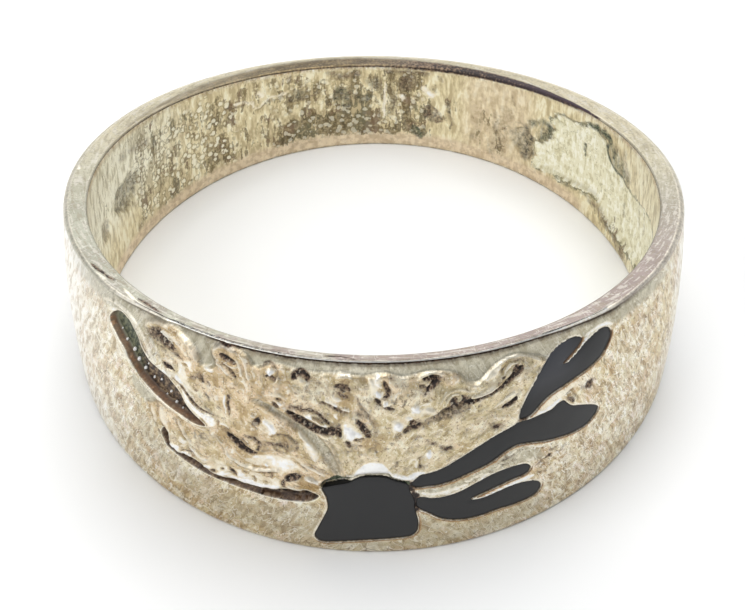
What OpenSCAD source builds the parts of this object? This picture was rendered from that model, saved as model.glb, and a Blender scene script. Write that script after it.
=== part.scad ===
// Tapered band ring with cast relief and dark inlay, millimetres.
// It lies on its side: the lower rim is flat on z = 0, the wide front faces -Y,
// and the origin is on that floor, straight under the middle of the finger hole.

/* [Band] */
// Radius of the finger hole
bore_r = 9.5; // [9.4:0.05:9.6]
// How far the hole sits towards the front, so the back wall is the thicker one
bore_shift = 0.2; // [0.15:0.05:0.25]
// Radius of the outer wall at mid height
barrel_r = 10.45; // [10.4:0.05:10.55]
// How far the outer wall sits towards the front
barrel_shift = 0.1; // [0.05:0.05:0.15]
// Radius of the outer wall's bulge, seen in section
crown_r = 29; // [26:1:34]
// Half the band's width at its sides
half_w = 2.9; // [2.8:0.05:3]
// Slope of each rim, which makes the front wide and the back narrow
taper = 6.06; // [5.9:0.02:6.2]
// Radius of the upper rim's slight arch
arch_r = 257; // [220:1:320]

/* [Inlay] */
// Depth of the pockets that hold the inlay
pocket_t = 0.36; // [0.3:0.02:0.4]
// How far the inlay's face lies under the metal
inlay_drop = 0.05; // [0.03:0.01:0.08]
// Gap between the inlay and its pocket
inlay_gap = 0.03; // [0.02:0.005:0.04]

/* [Relief] */
// Depth of the smooth field under the upper rim
field_t = 0.2; // [0.15:0.01:0.24]
// Depth of the fine groove between that field and the rim
seam_t = 0.3; // [0.26:0.01:0.34]
// Depth of the empty channels
channel_t = 0.34; // [0.25:0.01:0.4]
// Depth of the smooth valley in the middle of the relief
valley_t = 0.12; // [0.08:0.01:0.16]
// Height of the ridges over the wall
ridge_t = 0.13; // [0.08:0.01:0.18]
// Radius of the beads on the floor of the long channel
bead_r = 0.13; // [0.1:0.01:0.16]

/* [Hidden] */
$fn = 256;
silver = [0.80, 0.76, 0.68];
ink = [0.13, 0.13, 0.14];
lift = half_w * cos(taper);
reach = 14;
over = 0.5;
root = 0.12;
// Radius on which the lengths s are measured
lay_r = 10.3;
// Sections, as shares of a strip's half width and of its depth, but for pit_lip in mm
groove_floor = 0.7;
shoulder_w = 0.6;
shoulder_t = 0.7;
pit_mouth = 0.9;
pit_lip = 0.03;
pit_floor = 0.45;
pit_steps = [-0.92, -0.5, 0, 0.5, 0.92];
slope_top = -0.9;
slope_t = 0.3;
slope_foot = -0.2;
seam_at = [0.45, 0.5, 0.62, 0.7];
past_rim = 1.5;

// The relief is laid out on the outer wall. s runs round the wall from the front's
// middle towards +X, h is the height over the band's mid plane, d the depth under it.
function turn(s) = s / lay_r * 180 / PI;
function wall_r(h) = barrel_r - crown_r + sqrt(crown_r * crown_r - h * h);
function at(s, h, d) =
    let (a = turn(s), r = wall_r(h) + barrel_shift * cos(a) - d)
    [r * sin(a), -r * cos(a), h];
function rim_h(s) =
    let (y = -barrel_r * cos(turn(s)))
    half_w - y * tan(taper) - y * y / (2 * arch_r);

// A strip's rows hold its two edges and its share of the full depth:
// s and h of the right edge, s and h of the left one, as seen along the strip.
// A stroke's rows hold its middle line: s, h, half width and share.
function heading(rows, i) =
    let (a = rows[max(i - 1, 0)], b = rows[min(i + 1, len(rows) - 1)],
         v = [b[0] - a[0], b[1] - a[1]])
    v / norm(v);
function strip(rows) = [for (i = [0:len(rows) - 1])
    let (r = rows[i], v = heading(rows, i) * r[2])
    [r[0] + v[1], r[1] - v[0], r[0] - v[1], r[1] + v[0], r[3]]];

// Moves a strip's edges and ends outwards by g
function grown(edges, g) = [for (i = [0:len(edges) - 1])
    let (e = edges[i], u = [e[2] - e[0], e[3] - e[1]], w = u / norm(u) * g,
         f = i == 0 ? -1 : i == len(edges) - 1 ? 1 : 0, t = [w[1], -w[0]] * f)
    [e[0] - w[0] + t[0], e[1] - w[1] + t[1], e[2] + w[0] + t[0], e[3] + w[1] + t[1], e[4]]];

// Sweeps a section along a strip. Each corner of the section has its place across
// the strip, from -1 to 1, a fixed depth, and a depth that the row's share scales.
module swept(edges, section) {
    n = len(section);
    last = (len(edges) - 1) * n;
    spots = [for (e = edges) for (c = section)
        let (k = (c[0] + 1) / 2)
        at(e[0] + k * (e[2] - e[0]), e[1] + k * (e[3] - e[1]), c[1] + c[2] * e[4])];
    sides = [for (i = [0:len(edges) - 2]) for (j = [0:n - 1])
        let (a = i * n + j, b = i * n + (j + 1) % n)
        each [[a, a + n, b + n], [a, b + n, b]]];
    ends = [for (j = [1:n - 2]) each [[0, j, j + 1], [last, last + j + 1, last + j]]];
    polyhedron(points = spots, faces = concat(sides, ends));
}

module groove(rows, depth) {
    swept(strip(rows), [[-1, -over, 0], [-groove_floor, 0, depth], [groove_floor, 0, depth],
        [1, -over, 0]]);
}

module ridge(rows) {
    swept(strip(rows), [[1, root, 0], [shoulder_w, 0, -shoulder_t * ridge_t],
        [0, 0, -ridge_t], [-shoulder_w, 0, -shoulder_t * ridge_t], [-1, root, 0]]);
}

// An oval bowl: s, h, half length, half width, turn and depth
module pit(p) {
    rows = [for (t = pit_steps)
        [p[0] + t * p[2] * cos(p[4]), p[1] + t * p[2] * sin(p[4]),
         p[3] * sqrt(1 - t * t), sqrt(1 - t * t)]];
    swept(strip(rows), [[-1, -over, 0], [-pit_mouth, -pit_lip, 0], [-pit_floor, 0, p[5]],
        [pit_floor, 0, p[5]], [pit_mouth, -pit_lip, 0], [1, -over, 0]]);
}

// Inlay outlines. The body is a strip from its top edge down.
body_edges = [
    [0.30, -0.24, 1.00, -0.24, 1],
    [0.05, -0.42, 1.12, -0.42, 1],
    [-0.10, -0.62, 1.50, -0.56, 1],
    [-0.55, -0.85, 1.62, -0.85, 1],
    [-0.98, -1.02, 1.64, -1.05, 1],
    [-0.88, -1.45, 1.76, -1.40, 1],
    [-0.83, -1.90, 1.80, -1.90, 1],
    [-1.03, -2.50, 1.92, -2.50, 1],
    [-1.19, -2.95, 1.90, -2.93, 1],
    [-1.29, -3.30, 1.78, -3.15, 1],
    [-1.12, -3.55, 1.50, -3.26, 1],
];
// The other inlays are strokes: s, h, half width, share
branch = [
    [1.72, -0.86, 0.12, 1],
    [2.00, -0.68, 0.26, 1],
    [2.40, -0.61, 0.31, 1],
    [2.93, -0.44, 0.37, 1],
    [3.45, -0.19, 0.41, 1],
    [4.00, 0.07, 0.45, 1],
    [4.50, 0.31, 0.44, 1],
    [5.00, 0.48, 0.47, 1],
    [5.60, 0.40, 0.54, 1],
    [6.20, 0.33, 0.64, 1],
    [6.75, 0.16, 0.60, 1],
    [7.20, 0.04, 0.51, 1],
    [7.60, -0.05, 0.39, 1],
    [7.88, -0.08, 0.22, 1],
    [8.00, -0.08, 0.08, 1],
];
upper_fork_left = [
    [5.17, 1.08, 0.10, 1],
    [5.30, 1.30, 0.32, 1],
    [5.52, 1.70, 0.45, 1],
    [5.82, 2.15, 0.48, 1],
    [6.12, 2.55, 0.44, 1],
    [6.38, 2.84, 0.38, 1],
    [6.64, 3.00, 0.28, 1],
    [6.90, 3.07, 0.20, 1],
    [7.14, 3.10, 0.07, 1],
];
upper_fork_right = [
    [5.60, 1.78, 0.30, 1],
    [6.10, 2.02, 0.42, 1],
    [6.60, 2.10, 0.42, 1],
    [7.05, 2.24, 0.42, 1],
    [7.50, 2.42, 0.48, 1],
    [7.90, 2.55, 0.48, 1],
    [8.18, 2.62, 0.36, 1],
    [8.38, 2.66, 0.14, 1],
];
lower_fork_upper = [
    [1.86, -1.62, 0.20, 1],
    [2.20, -1.76, 0.30, 1],
    [2.70, -1.86, 0.40, 1],
    [3.20, -1.72, 0.38, 1],
    [3.70, -1.48, 0.34, 1],
    [4.25, -1.25, 0.33, 1],
    [4.75, -1.16, 0.31, 1],
    [5.15, -1.13, 0.26, 1],
    [5.40, -1.16, 0.15, 1],
    [5.50, -1.18, 0.05, 1],
];
lower_fork_lower = [
    [2.25, -1.90, 0.28, 1],
    [2.65, -2.15, 0.40, 1],
    [3.10, -2.29, 0.44, 1],
    [3.60, -2.35, 0.43, 1],
    [4.20, -2.29, 0.44, 1],
    [4.80, -2.21, 0.48, 1],
    [5.40, -2.22, 0.44, 1],
    [5.76, -2.26, 0.30, 1],
    [5.94, -2.28, 0.12, 1],
];

// Empty channels, strokes as above
leaf_channel = [
    [-8.62, 2.60, 0.16, 0.4],
    [-8.32, 2.63, 0.42, 0.7],
    [-7.98, 2.46, 0.53, 1],
    [-7.62, 2.15, 0.56, 1],
    [-7.27, 1.78, 0.54, 1],
    [-6.87, 1.46, 0.52, 1],
    [-6.40, 1.26, 0.54, 1],
    [-5.93, 1.08, 0.50, 1],
    [-5.52, 0.83, 0.36, 0.9],
    [-5.20, 0.61, 0.23, 0.7],
    [-4.90, 0.48, 0.12, 0.5],
    [-4.66, 0.43, 0.05, 0.3],
];
hem_channel = [
    [-6.22, -0.45, 0.08, 0.4],
    [-6.26, -0.75, 0.14, 0.8],
    [-6.20, -1.08, 0.16, 0.9],
    [-5.92, -1.28, 0.13, 0.9],
    [-5.45, -1.38, 0.12, 0.9],
    [-4.90, -1.46, 0.13, 0.9],
    [-4.20, -1.54, 0.12, 0.9],
    [-3.40, -1.60, 0.13, 0.9],
    [-2.60, -1.60, 0.17, 0.9],
    [-2.05, -1.49, 0.26, 0.8],
    [-1.60, -1.43, 0.29, 0.8],
    [-1.22, -1.42, 0.20, 0.7],
    [-1.05, -1.42, 0.10, 0.6],
];
valley = [
    [-3.02, 1.98, 0.10, 0.6],
    [-2.50, 1.84, 0.15, 1],
    [-2.00, 1.54, 0.19, 1],
    [-1.55, 1.16, 0.20, 1],
    [-1.18, 0.74, 0.20, 1],
    [-0.88, 0.30, 0.20, 1],
    [-0.64, -0.12, 0.17, 1],
    [-0.48, -0.40, 0.08, 0.6],
];
// Lower edge of the field: s, h and share of its depth
field_rows = [
    [-9.0, 3.10, 0.1],
    [-8.2, 3.28, 0.4],
    [-7.4, 3.18, 0.7],
    [-6.9, 3.15, 0.8],
    [-6.1, 3.50, 0.9],
    [-5.3, 3.25, 1],
    [-4.8, 2.85, 1],
    [-4.3, 3.20, 1],
    [-3.5, 3.45, 1],
    [-2.4, 3.38, 1],
    [0.0, 3.38, 1],
    [2.5, 3.38, 1],
    [3.3, 2.80, 1],
    [3.9, 2.95, 1],
    [4.8, 3.35, 1],
    [5.8, 3.15, 0.9],
    [6.8, 3.30, 0.7],
    [7.6, 3.15, 0.6],
    [8.6, 3.05, 0.4],
    [9.4, 2.95, 0.1],
];

// Ridges, strokes whose share scales their height
ridges = [
    // lip over the long channel
    [[-8.98, 2.90, 0.08, 0.2], [-8.60, 3.17, 0.11, 0.8], [-8.05, 3.23, 0.12, 1],
     [-7.60, 3.12, 0.13, 1], [-7.22, 2.85, 0.13, 1], [-6.90, 2.52, 0.12, 1],
     [-6.60, 2.16, 0.10, 0.7], [-6.45, 2.00, 0.06, 0.2]],
    // its lower half
    [[-6.10, 1.88, 0.06, 0.2], [-5.75, 1.86, 0.12, 1], [-5.35, 1.70, 0.13, 1],
     [-5.05, 1.30, 0.12, 1], [-4.75, 1.02, 0.10, 0.8], [-4.40, 0.95, 0.05, 0.2]],
    // far left petal, both sides
    [[-6.30, 2.44, 0.06, 0.2], [-6.68, 2.76, 0.12, 1], [-6.92, 3.02, 0.12, 1],
     [-6.72, 3.28, 0.12, 1], [-6.30, 3.40, 0.12, 1], [-5.80, 3.42, 0.12, 1],
     [-5.35, 3.28, 0.14, 1], [-5.00, 3.02, 0.13, 1], [-4.85, 2.68, 0.06, 0.2]],
    // second petal, both sides
    [[-3.62, 2.50, 0.06, 0.2], [-4.02, 2.76, 0.12, 1], [-4.30, 3.02, 0.13, 1],
     [-4.38, 3.26, 0.12, 1], [-4.12, 3.43, 0.12, 1], [-3.72, 3.46, 0.12, 1],
     [-3.38, 3.32, 0.12, 1], [-3.20, 2.98, 0.11, 0.9], [-3.06, 2.56, 0.05, 0.2]],
    // short upright bar
    [[-3.88, 2.00, 0.05, 0.3], [-3.88, 1.75, 0.09, 1], [-3.88, 1.35, 0.09, 1],
     [-3.86, 1.05, 0.05, 0.3]],
    // petal beside the valley
    [[-2.30, 1.52, 0.06, 0.2], [-1.85, 1.36, 0.10, 0.9], [-1.50, 1.02, 0.11, 1],
     [-1.24, 0.60, 0.11, 1], [-1.05, 0.18, 0.10, 0.8], [-0.86, -0.22, 0.05, 0.2]],
    // two curved folds under it
    [[-4.45, 0.32, 0.06, 0.2], [-4.08, 0.00, 0.10, 1], [-3.92, -0.38, 0.11, 1],
     [-3.60, -0.62, 0.11, 1], [-3.10, -0.72, 0.11, 1], [-2.50, -0.64, 0.09, 0.8],
     [-2.05, -0.40, 0.05, 0.2]],
    [[-5.75, 0.22, 0.06, 0.2], [-5.50, -0.15, 0.11, 1], [-5.25, -0.58, 0.12, 1],
     [-4.85, -0.80, 0.11, 0.9], [-4.50, -0.76, 0.05, 0.2]],
    [[-6.90, 0.12, 0.06, 0.2], [-6.72, -0.15, 0.13, 0.8], [-6.62, -0.45, 0.12, 0.7],
     [-6.58, -0.72, 0.05, 0.2]],
    // right-hand lobe, its top and the roll inside it
    [[3.45, 2.45, 0.06, 0.2], [3.80, 2.88, 0.13, 1], [4.18, 3.14, 0.14, 1],
     [4.60, 3.34, 0.14, 1], [4.98, 3.36, 0.13, 1], [5.34, 3.20, 0.12, 1],
     [5.60, 2.92, 0.05, 0.2]],
    [[3.50, 2.36, 0.06, 0.4], [3.90, 2.50, 0.11, 1], [4.35, 2.76, 0.13, 1],
     [4.80, 3.06, 0.12, 1], [5.10, 3.14, 0.06, 0.3]],
    // arc to its left
    [[2.42, 2.30, 0.05, 0.2], [2.66, 2.60, 0.10, 1], [3.05, 2.73, 0.11, 1],
     [3.40, 2.62, 0.09, 0.7], [3.68, 2.50, 0.04, 0.2]],
    // short rays in the middle
    [[-2.62, 2.75, 0.06, 0.2], [-2.56, 3.10, 0.14, 0.9], [-2.52, 3.35, 0.18, 1],
     [-2.50, 3.52, 0.08, 0.3]],
    [[0.98, 2.26, 0.05, 0.3], [0.80, 2.50, 0.12, 1], [0.68, 2.85, 0.14, 1],
     [0.70, 3.20, 0.13, 0.9], [0.80, 3.48, 0.06, 0.3]],
    [[1.22, 1.02, 0.05, 0.2], [1.28, 1.45, 0.12, 1], [1.42, 1.85, 0.14, 0.9],
     [1.68, 2.20, 0.13, 1], [1.90, 2.45, 0.05, 0.3]],
    [[-0.34, 1.05, 0.06, 0.2], [-0.20, 1.30, 0.13, 1], [-0.12, 1.60, 0.12, 0.8],
     [-0.10, 1.90, 0.05, 0.2]],
    [[2.02, 0.15, 0.05, 0.2], [2.10, 0.38, 0.10, 0.9], [2.16, 0.62, 0.05, 0.2]],
];

// Pits: s, h, half length, half width, turn, depth
pits = [
    [-6.20, 3.02, 0.46, 0.15, -16, 0.28],
    [-5.98, 2.16, 0.22, 0.12, -12, 0.18],
    [-5.06, 2.18, 0.12, 0.08, 0, 0.12],
    [-3.86, 3.20, 0.27, 0.10, -20, 0.24],
    [-3.70, 2.88, 0.16, 0.06, -50, 0.14],
    [-2.47, 3.06, 0.15, 0.06, -20, 0.14],
    [-1.62, 3.30, 0.24, 0.14, 5, 0.22],
    [-0.34, 3.00, 0.20, 0.10, -20, 0.15],
    [-0.34, 2.72, 0.16, 0.08, 10, 0.12],
    [-0.70, 2.30, 0.26, 0.12, -35, 0.14],
    [-2.20, 2.20, 0.20, 0.13, 20, 0.16],
    [-1.18, 1.56, 0.74, 0.20, -29, 0.30],
    [0.18, 1.50, 0.34, 0.13, -60, 0.22],
    [-2.94, 1.30, 0.20, 0.12, 55, 0.18],
    [-3.36, 0.30, 0.54, 0.20, -30, 0.30],
    [-2.05, 0.60, 0.42, 0.28, 25, 0.14],
    [-1.82, -0.76, 0.30, 0.12, 50, 0.22],
    [-0.58, -0.66, 0.42, 0.15, 10, 0.30],
    [2.27, 3.08, 0.28, 0.12, 35, 0.22],
    [3.02, 2.34, 0.34, 0.16, -8, 0.18],
    [2.98, 2.05, 0.50, 0.07, 12, 0.20],
    [4.42, 2.52, 0.80, 0.06, 25, 0.20],
    [1.68, 1.66, 0.20, 0.12, 35, 0.18],
    [4.66, 1.82, 0.32, 0.11, 27, 0.22],
    [4.25, 1.00, 0.14, 0.06, 15, 0.12],
    [2.70, 0.58, 0.24, 0.07, 5, 0.12],
    [0.52, 0.66, 0.15, 0.12, 0, 0.10],
    [7.50, 1.22, 0.14, 0.10, 0, 0.14],
];

// Beads on the floor of the long channel, s and h
beads = [[-7.81, 2.20], [-7.48, 2.02], [-7.26, 1.78], [-6.99, 1.56],
         [-6.60, 1.42], [-5.93, 1.24], [-5.73, 0.95]];

// Everything under the outer wall by depth d
module barrel(d) {
    translate([0, -barrel_shift, 0])
        rotate_extrude()
            intersection() {
                translate([barrel_r - crown_r - d, 0])
                    circle(r = crown_r);
                translate([0, -reach / 2])
                    square([reach, reach]);
            }
}

// The shell of metal between two depths
module shell(outer, inner) {
    difference() {
        barrel(outer);
        barrel(inner);
    }
}

module lower_side() {
    translate([0, 0, -half_w])
        rotate([taper, 0, 0])
            translate([-reach, -reach, 0])
                cube([2 * reach, 2 * reach, reach]);
}

module under_arch() {
    translate([0, 0, half_w])
        rotate([-taper, 0, 0])
            translate([0, 0, -arch_r])
                rotate([0, 90, 0])
                    cylinder(r = arch_r, h = 2 * reach, center = true);
}

module bore() {
    translate([0, -bore_shift, -reach])
        cylinder(r = bore_r, h = 2 * reach);
}

module blank() {
    intersection() {
        barrel(0);
        lower_side();
        under_arch();
    }
}

// Straight-walled outlines of the inlays, moved outwards by g
module outline(edges) {
    swept(edges, [[-1, -over, 0], [-1, over, 0], [1, over, 0], [1, -over, 0]]);
}

module body_outline(g) {
    outline(grown(body_edges, g));
}

module fork_outline(first, second, g) {
    outline(grown(strip(first), g));
    outline(grown(strip(second), g));
}

module pockets() {
    intersection() {
        shell(-over / 2, pocket_t);
        union() {
            body_outline(0);
            outline(strip(branch));
            fork_outline(upper_fork_left, upper_fork_right, 0);
            fork_outline(lower_fork_upper, lower_fork_lower, 0);
        }
    }
}

module field() {
    edges = [for (f = field_rows) [f[0], f[1], f[0], rim_h(f[0]), f[2]]];
    swept(edges, [[-1, -over, 0], [slope_top, 0, slope_t * field_t],
        [slope_foot, 0, field_t], [seam_at[0], 0, field_t], [seam_at[1], 0, seam_t],
        [seam_at[2], 0, seam_t], [seam_at[3], 0, field_t], [past_rim, 0, field_t],
        [past_rim, -over, 0]]);
}

// Puts what is drawn round the band's own axis into its place of rest
module rest() {
    translate([0, 0, lift])
        rotate([-taper, 0, 0])
            children();
}

module inlaid(shade) {
    color(shade)
        rest()
            intersection() {
                shell(inlay_drop, pocket_t - inlay_gap);
                children();
            }
}

module band() {
    color(silver)
        rest()
            difference() {
                union() {
                    difference() {
                        blank();
                        field();
                        groove(valley, valley_t);
                        groove(leaf_channel, channel_t);
                        groove(hem_channel, channel_t);
                    }
                    for (r = ridges) ridge(r);
                    for (b = beads) translate(at(b[0], b[1], channel_t)) sphere(bead_r);
                }
                pockets();
                for (p = pits) pit(p);
                bore();
            }
}

module inlay_body() {
    inlaid(ink) body_outline(-inlay_gap);
}

module inlay_branch() {
    inlaid(ink) outline(grown(strip(branch), -inlay_gap));
}

module inlay_upper_fork() {
    inlaid(ink) fork_outline(upper_fork_left, upper_fork_right, -inlay_gap);
}

module inlay_lower_fork() {
    inlaid(ink) fork_outline(lower_fork_upper, lower_fork_lower, -inlay_gap);
}

band();
inlay_body();
inlay_branch();
inlay_upper_fork();
inlay_lower_fork();
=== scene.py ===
import random
from math import atan2, cos, pi, radians, sin, tan

import bmesh
import bpy
import numpy as np
from mathutils import Matrix, Vector, noise


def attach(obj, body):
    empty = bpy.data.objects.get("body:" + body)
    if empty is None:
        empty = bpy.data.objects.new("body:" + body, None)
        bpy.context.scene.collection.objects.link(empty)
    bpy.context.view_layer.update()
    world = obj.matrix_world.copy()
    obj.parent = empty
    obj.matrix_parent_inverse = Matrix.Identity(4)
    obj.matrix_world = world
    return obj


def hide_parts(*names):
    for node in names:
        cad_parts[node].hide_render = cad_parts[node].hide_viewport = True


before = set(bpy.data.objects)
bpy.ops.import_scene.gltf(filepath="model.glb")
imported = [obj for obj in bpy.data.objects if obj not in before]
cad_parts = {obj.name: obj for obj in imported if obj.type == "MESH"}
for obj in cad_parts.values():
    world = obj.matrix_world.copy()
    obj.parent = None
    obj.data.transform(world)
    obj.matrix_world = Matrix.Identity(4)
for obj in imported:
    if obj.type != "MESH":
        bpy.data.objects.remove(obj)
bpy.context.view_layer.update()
mm = 0.001  # the ring is laid out in millimetres round its own axis


# shape of the ring, as in the CAD source
ring = {
    "holeRadius": 9.5, "holeShift": 0.2,
    "wallRadius": 10.45, "wallShift": 0.1, "crownRadius": 29.0,
    "halfWidth": 2.9, "archRadius": 257.0,
    "taper": radians(6.06),  # of each rim against the middle plane
    "layRadius": 10.3,  # lengths s round the wall are measured on this radius
    "lean": 0.16, "leanSeen": 0.9,  # the front leans in at its top, which shifts what the camera sees
}


def smooth(low, high, x):
    t = np.clip((x - low) / (high - low), 0, 1)
    return t * t * (3 - 2 * t)


def wallAt(phi, h):
    r = ring
    bulge = np.sqrt(r["crownRadius"] ** 2 - h * h) - r["crownRadius"]
    return r["wallRadius"] + bulge + r["wallShift"] * np.cos(phi)


def holeAt(phi):
    r = ring
    side = r["holeShift"] * np.sin(phi)
    return r["holeShift"] * np.cos(phi) + np.sqrt(r["holeRadius"] ** 2 - side * side)


def topRim(y):
    return ring["halfWidth"] - y * tan(ring["taper"]) - y * y / (2 * ring["archRadius"])


def lowRim(y):
    return -ring["halfWidth"] + y * tan(ring["taper"])


def toWorld(x, y, z):
    # the ring leans back by the taper of one rim, so that the lower rim lies on the floor
    c, s = cos(ring["taper"]), sin(ring["taper"])
    lift = ring["halfWidth"] * c
    return np.stack([x, y * c + z * s, z * c - y * s + lift], -1) * mm


def fade(s):
    return 1 - smooth(5.5, 9.2, np.abs(s))


def slope(s, h):
    # how far the wall leans in towards the upper rim of the front
    return ring["lean"] * fade(s) * smooth(2.2, 3.5, h)


# lines and outlines on the wall: s round the wall, h over the mid plane
def spline(points, closed=False, per=6):
    p = np.array(points, float)
    n = len(p)
    if n < 3:
        return p
    if closed:
        q = np.vstack([p[-1:], p, p[:2]])
    else:
        q = np.vstack([2 * p[0] - p[1], p, 2 * p[-1] - p[-2]])
    t = np.linspace(0, 1, per, endpoint=False)[:, None]
    out = []
    for i in range(len(q) - 3):
        a, b, c, d = q[i:i + 4]
        out.append(0.5 * (2 * b + (c - a) * t + (2 * a - 5 * b + 4 * c - d) * t ** 2
                          + (3 * b - a - 3 * c + d) * t ** 3))
    if not closed:
        out.append(p[-1:])
    return np.vstack(out)


def lineDistance(line, s, h):
    # distance to a line, and how far along it (0 to 1)
    best = np.full(s.shape, 1e9)
    along = np.zeros(s.shape)
    lengths = np.hypot(*(line[1:, :2] - line[:-1, :2]).T)
    total = lengths.sum()
    run = 0
    for a, b, length in zip(line[:-1], line[1:], lengths):
        ds, dh = b[0] - a[0], b[1] - a[1]
        t = np.clip(((s - a[0]) * ds + (h - a[1]) * dh) / (length ** 2 + 1e-12), 0, 1)
        d = np.hypot(s - a[0] - t * ds, h - a[1] - t * dh)
        closer = d < best
        best = np.where(closer, d, best)
        along = np.where(closer, (run + t * length) / total, along)
        run += length
    return best, along


def outlineDistance(loop, s, h):
    # signed distance to a closed outline, positive inside, and the way to the nearest edge
    best = np.full(s.shape, 1e9)
    gs, gh = np.zeros(s.shape), np.zeros(s.shape)
    within = np.zeros(s.shape, bool)
    for a, b in zip(loop, np.roll(loop, -1, 0)):
        ds, dh = b[0] - a[0], b[1] - a[1]
        t = np.clip(((s - a[0]) * ds + (h - a[1]) * dh) / (ds * ds + dh * dh + 1e-12), 0, 1)
        es, eh = s - a[0] - t * ds, h - a[1] - t * dh
        d = np.hypot(es, eh)
        closer = d < best
        best = np.where(closer, d, best)
        gs = np.where(closer, es, gs)
        gh = np.where(closer, eh, gh)
        if dh != 0:
            within ^= ((a[1] > h) != (b[1] > h)) & (s < a[0] + (h - a[1]) * ds / dh)
    size = np.maximum(best, 1e-9)
    return np.where(within, best, -best), gs / size, gh / size


def grown(loop, gap):
    # the outline moved outwards by gap
    d = np.roll(loop, -1, 0) - np.roll(loop, 1, 0)
    d /= np.hypot(*d.T)[:, None]
    area = np.sum(loop[:, 0] * np.roll(loop[:, 1], -1) - loop[:, 1] * np.roll(loop[:, 0], -1))
    return loop + np.stack([d[:, 1], -d[:, 0]], 1) * gap * np.sign(area)


inlayOutlines = {
    "inlay_body": [
        (-1.0, -1.03), (-0.86, -0.97), (-0.625, -0.87), (-0.2, -0.72), (0.02, -0.56), (0.2, -0.46),
        (0.43, -0.42), (0.70, -0.42), (0.93, -0.46), (1.17, -0.60), (1.42, -0.70), (1.58, -0.80),
        (1.62, -0.95), (1.66, -1.15), (1.74, -1.35), (1.79, -1.55), (1.80, -1.80),
        (1.83, -2.05), (1.91, -2.50), (1.91, -2.92), (1.80, -3.14), (1.60, -3.24), (1.30, -3.27),
        (0.60, -3.32), (0.0, -3.40), (-0.5, -3.49), (-0.9, -3.56), (-1.12, -3.55), (-1.26, -3.42),
        (-1.29, -3.22), (-1.17, -2.87), (-0.96, -2.28), (-0.84, -1.87), (-0.87, -1.45), (-0.95, -1.2),
    ],
    "inlay_branch": [
        (1.66, -0.80), (1.77, -0.57), (1.97, -0.42), (2.38, -0.30), (2.72, -0.16), (3.05, 0.05),
        (3.47, 0.30), (3.88, 0.53), (4.30, 0.72), (4.63, 0.84), (4.90, 0.95), (5.30, 0.93),
        (5.70, 0.95), (6.08, 0.98), (6.28, 1.10), (6.50, 1.13), (6.68, 0.92), (6.86, 0.74), (7.17, 0.59),
        (7.67, 0.32), (7.95, 0.10), (8.02, -0.05), (7.92, -0.25), (7.58, -0.46), (7.20, -0.50),
        (6.80, -0.46), (6.42, -0.38), (5.92, -0.27), (5.60, -0.16), (5.20, -0.04), (4.85, -0.01),
        (4.50, -0.16), (4.13, -0.40), (3.76, -0.55), (3.34, -0.70), (2.93, -0.85), (2.47, -0.95),
        (2.13, -0.95), (1.82, -0.95),
    ],
    "inlay_upper_fork": [
        (4.95, 1.10), (5.0, 1.42), (5.25, 1.97), (5.58, 2.47), (6.0, 2.95), (6.42, 3.24),
        (6.75, 3.31), (7.06, 3.27), (7.24, 3.12), (7.12, 2.95), (6.85, 2.77), (6.60, 2.62),
        (6.48, 2.53), (6.62, 2.51), (6.85, 2.62), (7.1, 2.78), (7.42, 2.96), (7.70, 3.05),
        (7.95, 3.09), (8.20, 3.05), (8.39, 2.87), (8.43, 2.59), (8.25, 2.30), (8.0, 2.05),
        (7.5, 1.87), (7.0, 1.78), (6.5, 1.67), (6.08, 1.57), (5.75, 1.38), (5.46, 1.12),
        (5.25, 1.01), (5.06, 1.01),
    ],
    "inlay_lower_fork": [
        (1.825, -1.55), (1.86, -1.40), (2.05, -1.38), (2.33, -1.48), (2.75, -1.475), (3.17, -1.37),
        (3.67, -1.13), (4.17, -0.93), (4.67, -0.85), (5.17, -0.88), (5.40, -1.02), (5.48, -1.22),
        (5.33, -1.41), (4.83, -1.47), (4.33, -1.585), (3.92, -1.71), (3.66, -1.79), (3.54, -1.86),
        (3.76, -1.90), (4.0, -1.88), (4.5, -1.76), (4.92, -1.70), (5.42, -1.77), (5.83, -1.99),
        (5.96, -2.28), (5.875, -2.52), (5.58, -2.66), (5.0, -2.70), (4.5, -2.68), (4.0, -2.75),
        (3.5, -2.77), (3.0, -2.68), (2.58, -2.49), (2.25, -2.20), (1.96, -1.97), (1.83, -1.78),
    ],
}
inlayLoops = {k: spline(v, True, 5) for k, v in inlayOutlines.items()}
# the hollow beside the body's upper left corner, and the ledge along its top
hollowLoop = spline([
    (-1.02, -1.02), (-1.0, -0.80), (-0.80, -0.60), (-0.60, -0.45), (-0.40, -0.42), (-0.12, -0.44),
    (0.10, -0.30), (0.40, -0.25), (0.97, -0.25), (1.10, -0.42), (1.47, -0.56), (1.62, -0.68),
    (1.50, -0.80), (1.0, -0.62), (0.4, -0.56), (0.0, -0.66), (-0.3, -0.86), (-0.7, -1.02),
], True, 5)
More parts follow.
